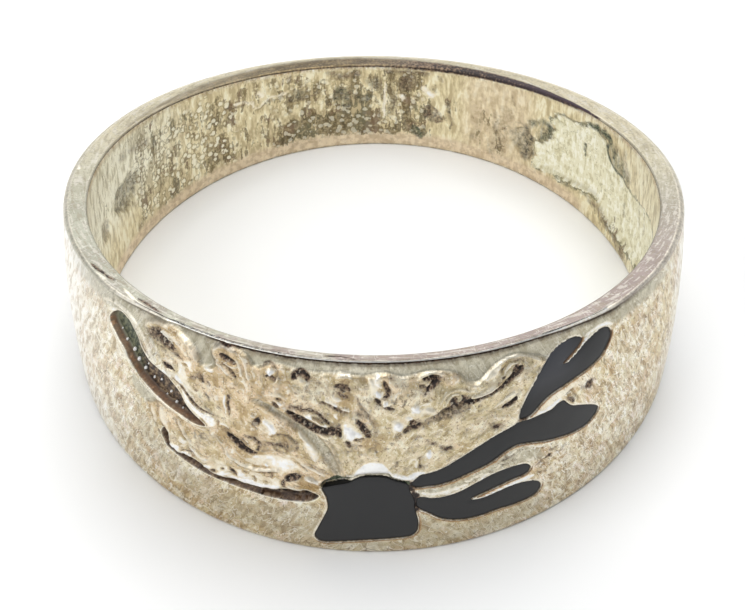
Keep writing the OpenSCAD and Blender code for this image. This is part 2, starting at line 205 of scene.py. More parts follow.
# painted highlight over the ledge
whiteLoop = spline([
    (-0.08, -0.44), (0.06, -0.14), (0.22, 0.04), (0.42, 0.20), (0.60, 0.24), (0.80, 0.18),
    (0.92, 0.0), (1.02, -0.20), (1.14, -0.40), (0.97, -0.25), (0.50, -0.25), (0.10, -0.30),
], True, 5)
leafLoop = spline([
    (-8.16, 3.05), (-8.50, 2.80), (-8.70, 2.50), (-8.62, 2.32), (-8.44, 2.17), (-8.16, 1.93),
    (-7.93, 1.77), (-7.75, 1.53), (-7.50, 1.30), (-7.30, 1.10), (-7.02, 0.95), (-6.68, 0.79),
    (-6.27, 0.64), (-5.85, 0.53), (-5.43, 0.44), (-5.02, 0.36), (-4.66, 0.45), (-4.81, 0.60),
    (-5.12, 0.80), (-5.35, 1.04), (-5.54, 1.38), (-5.80, 1.61), (-6.06, 1.78), (-6.43, 1.88),
    (-6.73, 1.97), (-6.89, 2.09), (-7.10, 2.30), (-7.27, 2.55), (-7.52, 2.80), (-7.81, 3.01),
], True, 5)
hemLoop = spline([
    (-6.36, -0.52), (-6.20, -0.46), (-6.16, -0.75), (-6.14, -1.08), (-5.95, -1.22), (-5.60, -1.26),
    (-5.05, -1.26), (-4.80, -1.40), (-4.45, -1.46), (-3.75, -1.46), (-2.90, -1.44), (-2.50, -1.38),
    (-2.15, -1.24), (-1.80, -1.14), (-1.40, -1.16), (-1.14, -1.30), (-1.10, -1.42), (-1.30, -1.62),
    (-1.60, -1.74), (-2.10, -1.79), (-2.70, -1.80), (-3.33, -1.76), (-4.17, -1.72), (-4.80, -1.68),
    (-5.20, -1.62), (-5.68, -1.50), (-6.0, -1.40), (-6.30, -1.26), (-6.42, -1.0), (-6.46, -0.75),
], True, 5)
# the lumpy part of the relief
reliefLoop = spline([
    (-7.0, 0.30), (-6.85, -0.35), (-6.55, -0.95), (-6.2, -1.25), (-5.0, -1.45), (-3.5, -1.55),
    (-2.2, -1.50), (-1.1, -1.25), (-0.7, -0.55), (0.3, -0.22), (1.0, -0.2), (1.5, -0.55),
    (2.4, -0.30), (3.4, 0.28), (4.8, 0.92), (5.0, 1.60), (5.5, 2.50), (5.9, 2.95), (5.4, 3.28),
    (4.95, 3.48), (4.5, 3.42), (4.1, 3.24), (3.7, 2.85), (3.35, 2.95), (3.05, 3.28), (2.6, 3.46),
    (2.0, 3.48), (1.4, 3.38), (0.9, 3.55), (0.3, 3.45), (-0.5, 3.50), (-1.2, 3.45), (-1.8, 3.52),
    (-2.5, 3.56), (-3.0, 3.30), (-3.3, 3.62), (-3.8, 3.78), (-4.2, 3.74), (-4.48, 3.40),
    (-4.3, 2.95), (-4.7, 2.75), (-4.95, 3.15), (-5.3, 3.45), (-5.9, 3.70), (-6.5, 3.66),
    (-6.98, 3.30), (-6.72, 2.82), (-6.35, 2.42), (-6.0, 1.98), (-5.4, 1.78), (-4.9, 1.30),
    (-4.3, 1.02), (-4.5, 0.45), (-5.3, 0.30), (-6.0, 0.50), (-6.6, 0.58),
], True, 4)
valleyLoop = spline([
    (-3.10, 2.02), (-2.70, 1.92), (-2.30, 1.62), (-1.90, 1.42), (-1.55, 1.12), (-1.22, 0.70),
    (-0.98, 0.28), (-0.78, -0.10), (-0.60, -0.40), (-0.42, -0.40), (-0.42, -0.05), (-0.60, 0.40),
    (-0.85, 0.92), (-1.25, 1.34), (-1.70, 1.62), (-2.10, 1.86), (-2.60, 2.12), (-3.0, 2.16),
], True, 4)
# grey strip between the branch and the lower fork
stripLoop = np.array([
    (1.9, -1.0), (2.6, -1.02), (3.4, -0.78), (4.2, -0.36), (4.9, -0.08), (5.8, -0.32), (6.6, -0.6),
    (6.9, -1.4), (6.2, -2.4), (6.05, -1.9), (5.6, -1.2), (5.3, -0.8), (4.6, -0.78), (3.6, -1.08),
    (2.8, -1.4), (2.0, -1.34),
])

# Marks: lift in mm (less than 0 cuts in), tone (-1 dark to 1 pale, where pale is a painted highlight),
# half width, points.
marks = [
    # lips of the long channel
    (0.05, 0.55, 0.075, [(-8.98, 3.0), (-8.6, 3.19), (-8.05, 3.23), (-7.6, 3.12), (-7.25, 2.9),
        (-6.95, 2.6), (-6.7, 2.32), (-6.5, 2.08)]),
    (0.05, 0.9, 0.09, [(-6.2, 1.9), (-5.85, 1.86), (-5.55, 1.74), (-5.3, 1.52), (-5.12, 1.24),
        (-4.85, 1.02), (-4.4, 0.88)]),
    (-0.06, -0.8, 0.05, [(-5.78, 1.84), (-5.45, 1.68), (-5.2, 1.42), (-5.0, 1.2), (-4.75, 1.06),
        (-4.35, 1.02)]),
    (-0.03, -0.5, 0.05, [(-7.75, 2.98), (-7.5, 2.82), (-7.2, 2.52), (-6.95, 2.28), (-6.65, 2.05)]),
    (0.04, 0.7, 0.06, [(-8.78, 2.78), (-8.5, 2.9), (-8.28, 3.04)]),
    (0.05, 0.5, 0.07, [(-8.95, 2.7), (-8.72, 2.3), (-8.3, 1.95), (-7.9, 1.6), (-7.5, 1.2)]),
    (0.03, 0.4, 0.05, [(-7.4, 0.98), (-7.0, 0.82), (-6.5, 0.64), (-6.0, 0.5), (-5.5, 0.38), (-5.0, 0.26),
        (-4.6, 0.3)]),
    (-0.10, -0.9, 0.07, [(-9.62, 3.78), (-9.35, 3.9), (-9.05, 3.98)]),
    (-0.04, -0.5, 0.05, [(-8.54, 3.5), (-8.46, 3.25)]),
    # far left petal
    (0.07, 0.5, 0.11, [(-6.98, 3.12), (-6.9, 3.36), (-6.55, 3.56), (-6.1, 3.62), (-5.8, 3.55)]),
    (-0.06, -0.40, 0.26, [(-6.72, 3.06), (-6.45, 3.1), (-6.25, 3.14)]),
    (-0.08, -0.85, 0.17, [(-6.42, 3.24), (-6.2, 3.14), (-6.0, 3.02), (-5.85, 2.96)]),
    (0.05, 0.8, 0.05, [(-6.3, 3.36), (-6.05, 3.26), (-5.86, 3.12)]),
    (0.05, 0.6, 0.05, [(-6.25, 3.44), (-6.0, 3.36), (-5.75, 3.3), (-5.6, 3.15)]),
    (0.05, 0.5, 0.05, [(-6.0, 3.2), (-5.8, 3.24), (-5.66, 3.16)]),
    (-0.05, -0.5, 0.05, [(-6.0, 3.62), (-5.65, 3.5), (-5.4, 3.3), (-5.28, 3.05), (-5.25, 2.92)]),
    (0.05, 0.35, 0.09, [(-5.7, 3.58), (-5.35, 3.42), (-5.1, 3.16), (-4.92, 2.9)]),
    (-0.04, -0.6, 0.04, [(-6.92, 3.0), (-6.62, 2.76), (-6.35, 2.54)]),
    (0.05, 0.5, 0.06, [(-6.82, 2.82), (-6.55, 2.62), (-6.3, 2.44)]),
    (-0.05, -0.7, 0.06, [(-5.78, 2.74), (-5.5, 2.66), (-5.42, 2.74)]),
    (-0.05, -0.7, 0.05, [(-5.45, 2.5), (-5.25, 2.54)]),
    (-0.08, -0.8, 0.06, [(-5.12, 2.17), (-4.95, 2.2)]),
    (-0.06, -0.6, 0.08, [(-4.8, 2.38), (-4.68, 2.16)]),
    (0.05, 0.4, 0.06, [(-6.38, 2.3), (-6.1, 2.38), (-5.85, 2.34), (-5.7, 2.2)]),
    (-0.09, -0.9, 0.08, [(-6.14, 2.2), (-5.95, 2.14), (-5.78, 2.08)]),
    (0.04, 0.5, 0.05, [(-6.2, 2.02), (-5.95, 1.98), (-5.72, 2.0)]),
    # second petal
    (0.05, 0.5, 0.08, [(-4.4, 3.16), (-4.46, 3.42), (-4.3, 3.64), (-4.0, 3.74), (-3.68, 3.68)]),
    (-0.04, -0.7, 0.04, [(-4.5, 3.4), (-4.42, 3.14), (-4.18, 2.94), (-3.95, 2.78), (-3.68, 2.6)]),
    (0.05, 0.5, 0.06, [(-4.3, 3.1), (-4.05, 2.9), (-3.8, 2.75)]),
    (-0.17, -1.0, 0.10, [(-4.14, 3.42), (-3.95, 3.36), (-3.66, 3.24)]),
    (-0.05, -0.7, 0.05, [(-4.1, 3.1), (-3.98, 3.06)]),
    (0.06, 0.6, 0.05, [(-4.0, 3.18), (-3.75, 3.1), (-3.55, 3.16)]),
    (-0.08, -0.9, 0.05, [(-3.88, 3.08), (-3.72, 2.88), (-3.58, 2.74)]),
    (0.04, 0.4, 0.05, [(-3.5, 3.62), (-3.34, 3.35), (-3.28, 3.05), (-3.16, 2.8)]),
    (-0.04, -0.5, 0.04, [(-3.44, 3.3), (-3.36, 3.0), (-3.24, 2.75)]),
    (0.05, 0.5, 0.05, [(-3.62, 3.42), (-3.48, 3.1), (-3.42, 2.8)]),
    # upright bar and small marks round it
    (0.07, 1.0, 0.06, [(-3.9, 2.0), (-3.9, 1.7), (-3.88, 1.3)]),
    (-0.06, -0.8, 0.05, [(-3.82, 2.04), (-3.82, 1.7), (-3.81, 1.25)]),
    (0.06, 0.6, 0.10, [(-4.25, 1.82), (-4.16, 1.76)]),
    (-0.05, -0.6, 0.05, [(-4.2, 1.42), (-4.1, 1.36)]),
    (-0.04, -0.5, 0.04, [(-4.68, 1.24), (-4.55, 1.16), (-4.4, 1.14)]),
    (-0.05, -0.7, 0.04, [(-4.22, 0.82), (-4.22, 0.64)]),
    (-0.04, -0.5, 0.05, [(-5.0, 1.75), (-4.9, 1.7)]),
    # lobe at the left end of the lower channel
    (0.06, 0.45, 0.16, [(-6.3, 0.34), (-6.34, 0.05), (-6.2, -0.28), (-6.05, -0.6)]),
    (0.05, 0.4, 0.12, [(-6.78, 0.12), (-6.72, -0.15), (-6.68, -0.42)]),
    (-0.05, -0.6, 0.05, [(-6.5, 0.44), (-6.52, 0.15), (-6.52, -0.12)]),
    (-0.05, -0.5, 0.05, [(-6.98, 0.2), (-6.72, 0.34), (-6.45, 0.52), (-6.1, 0.44), (-5.85, 0.36)]),
    (-0.04, -0.5, 0.04, [(-6.12, 0.0), (-6.04, -0.25), (-6.05, -0.5)]),
    (-0.07, -0.8, 0.05, [(-6.4, -0.44), (-6.22, -0.36)]),
    (0.06, 0.4, 0.07, [(-5.7, 0.22), (-5.55, -0.08), (-5.38, -0.4), (-5.2, -0.62)]),
    (-0.05, -0.6, 0.05, [(-5.85, 0.2), (-5.68, -0.1), (-5.5, -0.42), (-5.36, -0.6), (-5.15, -0.8),
        (-4.9, -0.89), (-4.65, -0.85), (-4.54, -0.72)]),
    (0.05, 0.6, 0.07, [(-5.3, -0.78), (-5.0, -0.98), (-4.7, -0.98)]),
    (0.05, 0.7, 0.18, [(-5.62, -0.58), (-5.56, -0.72)]),
    (-0.04, -0.5, 0.05, [(-5.05, 0.1), (-5.1, -0.25), (-5.05, -0.4)]),
    (-0.04, -0.4, 0.04, [(-4.75, 0.2), (-4.62, -0.05), (-4.68, -0.25)]),
    # folds
    (0.08, 0.5, 0.08, [(-4.5, 0.26), (-4.15, 0.05), (-4.0, -0.3), (-3.75, -0.56), (-3.3, -0.68),
        (-2.8, -0.66), (-2.3, -0.52)]),
    (-0.05, -0.7, 0.05, [(-4.6, 0.32), (-4.3, 0.12), (-4.12, -0.1), (-4.02, -0.36), (-3.85, -0.58),
        (-3.55, -0.72), (-3.1, -0.77), (-2.7, -0.74), (-2.35, -0.64)]),
    (-0.03, -0.4, 0.04, [(-4.3, 0.3), (-4.0, 0.02), (-3.82, -0.3), (-3.5, -0.5), (-3.0, -0.55),
        (-2.6, -0.5)]),
    (0.03, 0.3, 0.05, [(-4.0, 0.4), (-3.8, 0.05), (-3.5, -0.25), (-3.0, -0.4)]),
    # pit with an arched edge
    (-0.22, -1.0, 0.12, [(-3.85, 0.46), (-3.6, 0.3), (-3.36, 0.14), (-3.15, 0.04), (-3.0, 0.04)]),
    (-0.08, -0.8, 0.06, [(-3.3, 0.64), (-3.02, 0.6), (-2.84, 0.42), (-2.92, 0.16)]),
    (-0.04, -0.45, 0.14, [(-3.4, 0.5), (-3.2, 0.36)]),
    (0.04, 0.6, 0.035, [(-3.3, 0.5), (-3.18, 0.4)]),
    (-0.05, -0.6, 0.06, [(-3.98, 0.62), (-3.86, 0.66)]),
    # rolled rings left of the valley
    (-0.05, -0.7, 0.06, [(-2.5, 0.82), (-2.25, 0.95), (-1.98, 0.96), (-1.76, 0.82), (-1.67, 0.6),
        (-1.78, 0.4)]),
    (0.06, -0.42, 0.25, [(-2.12, 0.78), (-1.92, 0.5)]),
    (0.0, -0.38, 0.16, [(-2.4, 0.42), (-2.25, 0.34)]),
    (0.0, -0.34, 0.2, [(-2.2, 1.3), (-1.95, 1.22)]),
    (-0.06, -0.8, 0.05, [(-2.65, 0.5), (-2.4, 0.52), (-2.1, 0.58)]),
    (-0.05, -0.7, 0.05, [(-2.12, 0.74), (-1.98, 0.6), (-2.02, 0.3)]),
    (-0.04, -0.6, 0.05, [(-2.42, 0.42), (-2.25, 0.26), (-2.0, 0.26)]),
    (0.05, -0.2, 0.10, [(-2.34, 1.26), (-2.15, 1.4), (-1.88, 1.34), (-1.72, 1.16)]),
    (-0.04, -0.5, 0.04, [(-2.2, 1.5), (-1.9, 1.46), (-1.68, 1.24), (-1.66, 1.02)]),
    (-0.12, -0.9, 0.10, [(-2.86, 1.44), (-2.92, 1.3), (-3.02, 1.2)]),
    (0.05, 0.9, 0.12, [(-2.7, 1.36), (-2.48, 1.18), (-2.4, 0.98)]),
    # the large pit with a lens in it
    (-0.26, -1.0, 0.13, [(-1.92, 1.92), (-1.66, 1.76), (-1.4, 1.6), (-1.1, 1.46), (-0.8, 1.38),
        (-0.5, 1.42), (-0.42, 1.26)]),
    (-0.08, -0.7, 0.06, [(-1.9, 2.1), (-1.72, 2.12), (-1.56, 2.16)]),
    (0.07, 0.9, 0.10, [(-1.42, 1.86), (-1.2, 1.84), (-0.96, 1.7), (-0.8, 1.58)]),
    (-0.07, -0.9, 0.05, [(-1.58, 2.06), (-1.3, 2.1), (-1.06, 2.0), (-0.88, 1.82), (-0.74, 1.66)]),
    (-0.05, -0.8, 0.06, [(-1.2, 1.88), (-1.02, 1.8), (-0.9, 1.7)]),
    (0.08, 1.0, 0.15, [(-0.24, 1.5), (-0.12, 1.32), (-0.1, 1.14)]),
    (0.05, 1.0, 0.10, [(0.1, 1.34), (0.14, 1.2)]),
    (-0.15, -0.9, 0.09, [(0.08, 1.86), (0.2, 1.66), (0.34, 1.44), (0.42, 1.24)]),
    (-0.08, -0.9, 0.05, [(-0.02, 1.1), (0.14, 1.12), (0.26, 1.18)]),
    (-0.12, -0.9, 0.07, [(-0.24, 1.04), (-0.17, 0.94), (-0.16, 0.8)]),
    (-0.07, -0.7, 0.05, [(0.12, 0.9), (0.2, 0.84)]),
    # valley's edges
    (-0.04, -0.5, 0.04, [(-2.9, 2.0), (-2.5, 1.82), (-2.1, 1.62), (-1.72, 1.44), (-1.38, 1.16),
        (-1.1, 0.8), (-0.92, 0.45), (-0.8, 0.1), (-0.62, -0.25)]),
    (-0.05, -0.5, 0.06, [(-1.62, 1.5), (-1.2, 1.16), (-0.78, 1.0), (-0.62, 0.7), (-0.52, 0.35),
        (-0.42, 0.0), (-0.36, -0.3)]),
    (0.06, 0.6, 0.12, [(-1.62, 1.2), (-1.38, 0.86), (-1.2, 0.45), (-1.15, 0.12)]),
    (-0.03, -0.4, 0.04, [(-1.5, 0.7), (-1.42, 0.35), (-1.3, 0.1)]),
    (-0.04, -0.6, 0.05, [(-1.78, -0.06), (-1.58, -0.22), (-1.4, -0.4)]),
    (-0.04, -0.6, 0.05, [(-1.3, -0.08), (-1.0, -0.24), (-0.72, -0.42)]),
    (0.05, 0.5, 0.07, [(-1.6, -0.08), (-1.25, -0.26), (-0.9, -0.46)]),
    # bumps and pits under the upper edge
    (-0.06, -0.5, 0.05, [(-2.78, 3.36), (-2.66, 3.54), (-2.46, 3.54), (-2.34, 3.36)]),
    (0.12, 1.0, 0.12, [(-2.54, 3.36), (-2.5, 3.22)]),
    (-0.12, -0.9, 0.06, [(-2.64, 3.1), (-2.48, 3.1), (-2.36, 3.0)]),
    (-0.05, -0.4, 0.07, [(-2.64, 2.8), (-2.58, 2.7)]),
    (-0.20, -1.0, 0.10, [(-1.82, 3.2), (-1.74, 3.38), (-1.56, 3.42), (-1.42, 3.34), (-1.38, 3.22)]),
    (0.05, 0.3, 0.08, [(-1.62, 3.2), (-1.5, 3.1)]),
    (-0.04, -0.6, 0.05, [(-1.48, 2.94), (-1.42, 2.9)]),
    (-0.04, -0.6, 0.05, [(-1.42, 2.78), (-1.3, 2.76)]),
    (-0.04, -0.6, 0.05, [(-1.15, 3.1), (-1.0, 3.1)]),
    (-0.12, -0.9, 0.07, [(-0.58, 3.08), (-0.38, 3.12), (-0.2, 3.06), (-0.14, 2.96)]),
    (-0.10, -0.9, 0.06, [(-0.46, 2.86), (-0.3, 2.76), (-0.18, 2.72)]),
    (-0.06, -0.7, 0.05, [(-0.4, 2.98), (-0.28, 2.94)]),
    (0.06, 0.4, 0.07, [(-0.54, 3.4), (-0.34, 3.5), (-0.08, 3.4)]),
    (0.05, 0.6, 0.07, [(-0.62, 2.66), (-0.42, 2.62)]),
    (-0.08, -0.7, 0.07, [(-1.0, 2.44), (-0.76, 2.42), (-0.62, 2.3), (-0.44, 2.2)]),
    (-0.06, -0.7, 0.06, [(-0.4, 2.16), (-0.2, 2.1)]),
    (0.05, 0.8, 0.06, [(-0.84, 2.5), (-0.6, 2.42), (-0.5, 2.34)]),
    (0.05, 0.7, 0.05, [(-0.36, 2.26), (-0.14, 2.2)]),
    (-0.04, -0.35, 0.16, [(-2.86, 2.34), (-2.62, 2.24)]),
    (-0.10, -0.9, 0.07, [(-2.4, 2.16), (-2.24, 2.04)]),
    (-0.08, -0.8, 0.06, [(-2.3, 2.34), (-2.12, 2.26)]),
    (0.04, 0.8, 0.06, [(-2.28, 2.22), (-2.12, 2.14)]),
    (0.04, 0.3, 0.09, [(-2.5, 2.46), (-2.2, 2.5), (-2.0, 2.36)]),
    # groove right of the middle, bumps and the arched pit
    (-0.06, -0.5, 0.05, [(0.1, 2.72), (0.16, 2.42), (0.34, 2.08), (0.5, 1.82), (0.6, 1.58),
        (0.64, 1.32)]),
    (-0.03, -0.4, 0.04, [(0.26, 2.5), (0.36, 2.2), (0.52, 2.0), (0.66, 1.7), (0.74, 1.4)]),
    (0.05, 0.5, 0.09, [(0.42, 3.4), (0.56, 3.1), (0.52, 2.8)]),
    (0.08, 0.7, 0.09, [(0.66, 3.52), (0.66, 3.3), (0.78, 3.1)]),
    (-0.12, -0.9, 0.07, [(0.86, 3.32), (0.9, 3.14), (0.97, 2.95), (0.95, 2.7)]),
    (0.09, 1.0, 0.14, [(0.66, 2.86), (0.74, 2.76)]),
    (0.09, 1.0, 0.12, [(0.84, 2.52), (0.92, 2.44)]),
    (-0.10, -0.9, 0.06, [(0.58, 2.66), (0.68, 2.58), (0.78, 2.42)]),
    (-0.07, -0.9, 0.05, [(0.86, 2.36), (1.0, 2.3), (1.16, 2.24)]),
    (-0.04, -0.35, 0.12, [(1.3, 2.8), (1.4, 2.7)]),
    (0.06, 0.5, 0.08, [(1.86, 3.3), (2.02, 3.42), (2.3, 3.45), (2.62, 3.36)]),
    (-0.16, -0.9, 0.08, [(2.02, 3.28), (2.26, 3.32), (2.5, 3.24)]),
    (-0.20, -1.0, 0.09, [(2.46, 3.22), (2.3, 3.08), (2.14, 2.88)]),
    (-0.08, -0.7, 0.07, [(1.88, 3.08), (2.0, 3.02)]),
    (0.05, 0.4, 0.06, [(2.08, 3.14), (2.2, 3.06)]),
    (-0.06, -0.6, 0.05, [(1.02, 3.42), (1.14, 3.34)]),
    (-0.05, -0.4, 0.07, [(2.9, 3.34), (3.08, 3.18), (3.14, 3.02)]),
    (0.10, 1.0, 0.15, [(1.7, 2.26), (1.84, 2.16)]),
    (0.06, 0.6, 0.09, [(2.1, 2.14), (2.3, 2.06)]),
    (0.09, 1.0, 0.13, [(1.26, 1.66), (1.32, 1.46)]),
    (0.06, 0.8, 0.09, [(1.5, 1.82), (1.66, 1.84)]),
    (-0.14, -1.0, 0.06, [(1.6, 1.78), (1.7, 1.72), (1.62, 1.62)]),
    (-0.16, -0.9, 0.07, [(1.44, 1.36), (1.6, 1.48), (1.78, 1.54), (1.9, 1.64)]),
    (-0.05, -0.5, 0.07, [(1.3, 1.34), (1.2, 1.2)]),
    (-0.05, -0.7, 0.05, [(1.0, 1.0), (1.14, 0.94)]),
    (-0.05, -0.6, 0.06, [(0.42, 0.7), (0.56, 0.76), (0.64, 0.62)]),
    # right-hand lobe
    (0.05, 0.4, 0.06, [(2.46, 2.1), (2.52, 2.4), (2.72, 2.64), (3.02, 2.74), (3.34, 2.64), (3.62, 2.54)]),
    (-0.09, -0.6, 0.16, [(2.8, 2.34), (3.02, 2.36), (3.2, 2.42)]),
    (0.05, 0.4, 0.05, [(2.62, 2.2), (2.72, 2.44), (2.92, 2.58), (3.12, 2.56)]),
    (0.04, 0.4, 0.05, [(3.0, 2.48), (3.1, 2.36), (3.02, 2.22)]),
    (-0.18, -1.0, 0.10, [(2.44, 1.92), (2.7, 2.04), (3.05, 2.14), (3.3, 2.2), (3.52, 2.2)]),
    (-0.06, -0.4, 0.14, [(2.1, 1.72), (2.4, 1.82), (2.8, 1.92), (3.3, 2.08)]),
    (-0.16, -1.0, 0.06, [(3.5, 2.2), (3.8, 2.29), (4.1, 2.41), (4.4, 2.54), (4.7, 2.74)]),
    (-0.20, -1.0, 0.09, [(4.6, 2.68), (4.8, 2.8), (5.0, 2.92), (5.1, 3.0)]),
    (0.07, 0.45, 0.09, [(3.46, 2.36), (3.8, 2.44), (4.12, 2.58), (4.4, 2.8), (4.72, 2.96), (4.96, 3.08)]),
    (-0.10, -0.9, 0.05, [(4.22, 2.66), (4.34, 2.74)]),
    (-0.10, -0.9, 0.05, [(4.38, 2.78), (4.5, 2.86)]),
    (-0.12, -1.0, 0.06, [(4.72, 2.9), (4.9, 3.06), (4.98, 3.04)]),
    (0.05, 0.5, 0.055, [(3.78, 2.9), (4.08, 3.14), (4.4, 3.36), (4.72, 3.46), (5.04, 3.4), (5.34, 3.26),
        (5.66, 3.08)]),
    (-0.05, -0.7, 0.04, [(4.36, 2.96), (4.56, 3.2), (4.8, 3.3), (5.08, 3.24), (5.2, 3.1)]),
    (0.05, 0.6, 0.06, [(4.5, 3.0), (4.68, 3.18), (4.9, 3.2)]),
    (-0.05, -0.5, 0.04, [(4.62, 3.36), (4.9, 3.36), (5.2, 3.28), (5.45, 3.12)]),
    (0.06, 0.45, 0.12, [(3.9, 2.9), (4.2, 3.08), (4.36, 3.22)]),
    (-0.13, -1.0, 0.08, [(4.4, 1.7), (4.64, 1.8), (4.84, 1.94)]),
    (0.04, 0.45, 0.05, [(4.12, 1.76), (4.36, 1.96), (4.66, 2.12), (4.84, 2.1)]),
    (-0.03, -0.4, 0.07, [(4.24, 1.62), (4.5, 1.58), (4.76, 1.5)]),
    (-0.03, -0.3, 0.07, [(3.4, 1.36), (3.8, 1.46), (4.3, 1.44), (4.86, 1.3)]),
    (-0.03, -0.3, 0.05, [(3.6, 1.2), (3.95, 1.26), (4.2, 1.2)]),
    (0.03, 0.2, 0.10, [(3.1, 1.56), (3.6, 1.72), (4.0, 1.84)]),
    (-0.04, -0.5, 0.05, [(3.36, 0.74), (3.7, 0.84), (4.0, 0.96)]),
    (-0.10, -0.9, 0.06, [(4.14, 0.98), (4.34, 1.04)]),
    (-0.06, -0.5, 0.06, [(2.52, 0.7), (2.6, 0.62)]),
    (-0.09, -0.9, 0.06, [(2.62, 0.52), (2.86, 0.58)]),
    (-0.06, -0.6, 0.05, [(2.24, 0.88), (2.36, 0.8)]),
    (0.08, 1.0, 0.09, [(2.16, 0.56), (2.16, 0.3)]),
    (-0.07, -0.7, 0.05, [(1.88, 0.3), (1.86, 0.06), (1.94, -0.16)]),
    (0.05, 0.7, 0.06, [(1.82, 0.2), (1.8, -0.1)]),
    (-0.04, -0.4, 0.08, [(2.7, 0.1), (2.95, 0.22), (3.15, 0.18)]),
    (0.03, 0.3, 0.08, [(2.2, 1.26), (2.4, 1.32)]),
    (-0.03, -0.4, 0.05, [(2.14, 1.14), (2.5, 1.22)]),
    (-0.03, -0.4, 0.05, [(3.0, 1.22), (3.2, 1.32)]),
    # short marks above the lower channel
    (0.035, 1.0, 0.09, [(-6.14, -1.1), (-5.95, -1.12), (-5.8, -1.04)]),
    (-0.08, -0.9, 0.06, [(-5.62, -1.1), (-5.45, -1.06), (-5.34, -1.12)]),
    (0.035, 1.0, 0.06, [(-5.7, -1.24), (-5.5, -1.16), (-5.34, -1.2)]),
    (-0.05, -0.7, 0.06, [(-5.4, -0.9), (-5.2, -0.96)]),
    (0.035, 1.0, 0.06, [(-4.92, -1.42), (-4.75, -1.34), (-4.58, -1.26)]),
    (-0.06, -0.8, 0.05, [(-4.58, -1.38), (-4.42, -1.3)]),
    (0.035, 1.0, 0.06, [(-4.36, -1.44), (-4.2, -1.36), (-4.1, -1.24)]),
    (-0.06, -0.8, 0.05, [(-4.2, -1.16), (-4.1, -1.06)]),
    (-0.10, -0.8, 0.09, [(-3.9, -0.98), (-3.8, -1.1), (-3.72, -1.24)]),
    (0.035, 0.9, 0.06, [(-3.62, -1.2), (-3.5, -1.1)]),
    (-0.05, -0.7, 0.05, [(-3.5, -0.98), (-3.3, -0.98)]),
    (-0.05, -0.7, 0.05, [(-3.12, -1.04), (-3.08, -1.26)]),
    (-0.05, -0.7, 0.05, [(-2.78, -1.12), (-2.7, -1.26)]),
    (-0.05, -0.8, 0.05, [(-2.82, -0.84), (-2.7, -0.74), (-2.52, -0.74), (-2.54, -0.88), (-2.78, -0.9)]),
    (0.035, 1.0, 0.07, [(-4.0, -1.42), (-3.5, -1.4), (-3.0, -1.38), (-2.6, -1.32), (-2.3, -1.22)]),
    # hook beside the inlay
    (-0.20, -1.0, 0.11, [(-2.06, -0.82), (-1.9, -0.7), (-1.68, -0.64)]),
    (-0.10, -0.9, 0.06, [(-2.12, -0.86), (-2.18, -1.02), (-2.14, -1.18)]),
    (0.06, 0.5, 0.06, [(-2.04, -1.06), (-1.86, -1.12), (-1.6, -1.12)]),
    (-0.05, -0.6, 0.05, [(-1.85, -1.0), (-1.62, -1.02)]),
    (0.07, 0.6, 0.08, [(-1.5, -0.62), (-1.3, -0.68), (-1.1, -0.84)]),
    # ledges round the inlay's top and small marks on the plain metal
    (0.04, 1.0, 0.10, [(1.14, -0.34), (1.34, -0.46), (1.52, -0.54), (1.72, -0.44), (2.0, -0.32)]),
    (-0.06, -0.7, 0.07, [(6.1, -0.92), (6.16, -1.02)]),
    (-0.08, -0.75, 0.15, [(7.42, 1.18), (7.62, 1.3)]),
    (-0.05, -0.7, 0.10, [(6.62, 1.12), (6.82, 0.98), (6.92, 0.86)]),
    (0.03, 0.9, 0.05, [(5.5, 1.03), (5.9, 1.05), (6.16, 1.16), (6.4, 1.26)]),
    (0.02, 1.0, 0.09, [(3.75, -1.82), (4.1, -1.78), (4.6, -1.66), (5.1, -1.58), (5.6, -1.6)]),
    (0.02, 1.0, 0.07, [(6.62, 2.56), (6.95, 2.74), (7.25, 2.94), (7.5, 3.06)]),
    (0.02, 0.8, 0.05, [(7.4, 3.16), (7.8, 3.2), (8.2, 3.18), (8.5, 2.98)]),
    (0.02, 0.7, 0.06, [(1.98, -1.2), (2.3, -1.3), (2.8, -1.26), (3.4, -1.1)]),
    (-0.05, -0.6, 0.05, [(6.85, 1.22), (7.05, 0.98), (7.1, 0.8)]),
    (-0.05, -0.5, 0.06, [(7.2, 1.3), (7.35, 1.16)]),
    (-0.05, -0.5, 0.05, [(6.6, 1.3), (6.9, 1.42)]),
    (-0.05, -0.6, 0.05, [(8.1, 3.72), (8.25, 3.6), (8.4, 3.62)]),
    (-0.04, -0.5, 0.05, [(3.86, 3.66), (3.88, 3.56)]),
]
# dark smears between the inlays
necks = [
    (0.0, -1.3, 0.12, [(1.48, -0.62), (1.64, -0.78), (1.72, -1.02)]),
    (0.0, -1.4, 0.15, [(1.74, -1.18), (1.80, -1.50), (1.85, -1.95)]),
    (0.0, -0.9, 0.05, [(4.94, 1.02), (5.24, 0.98)]),
]
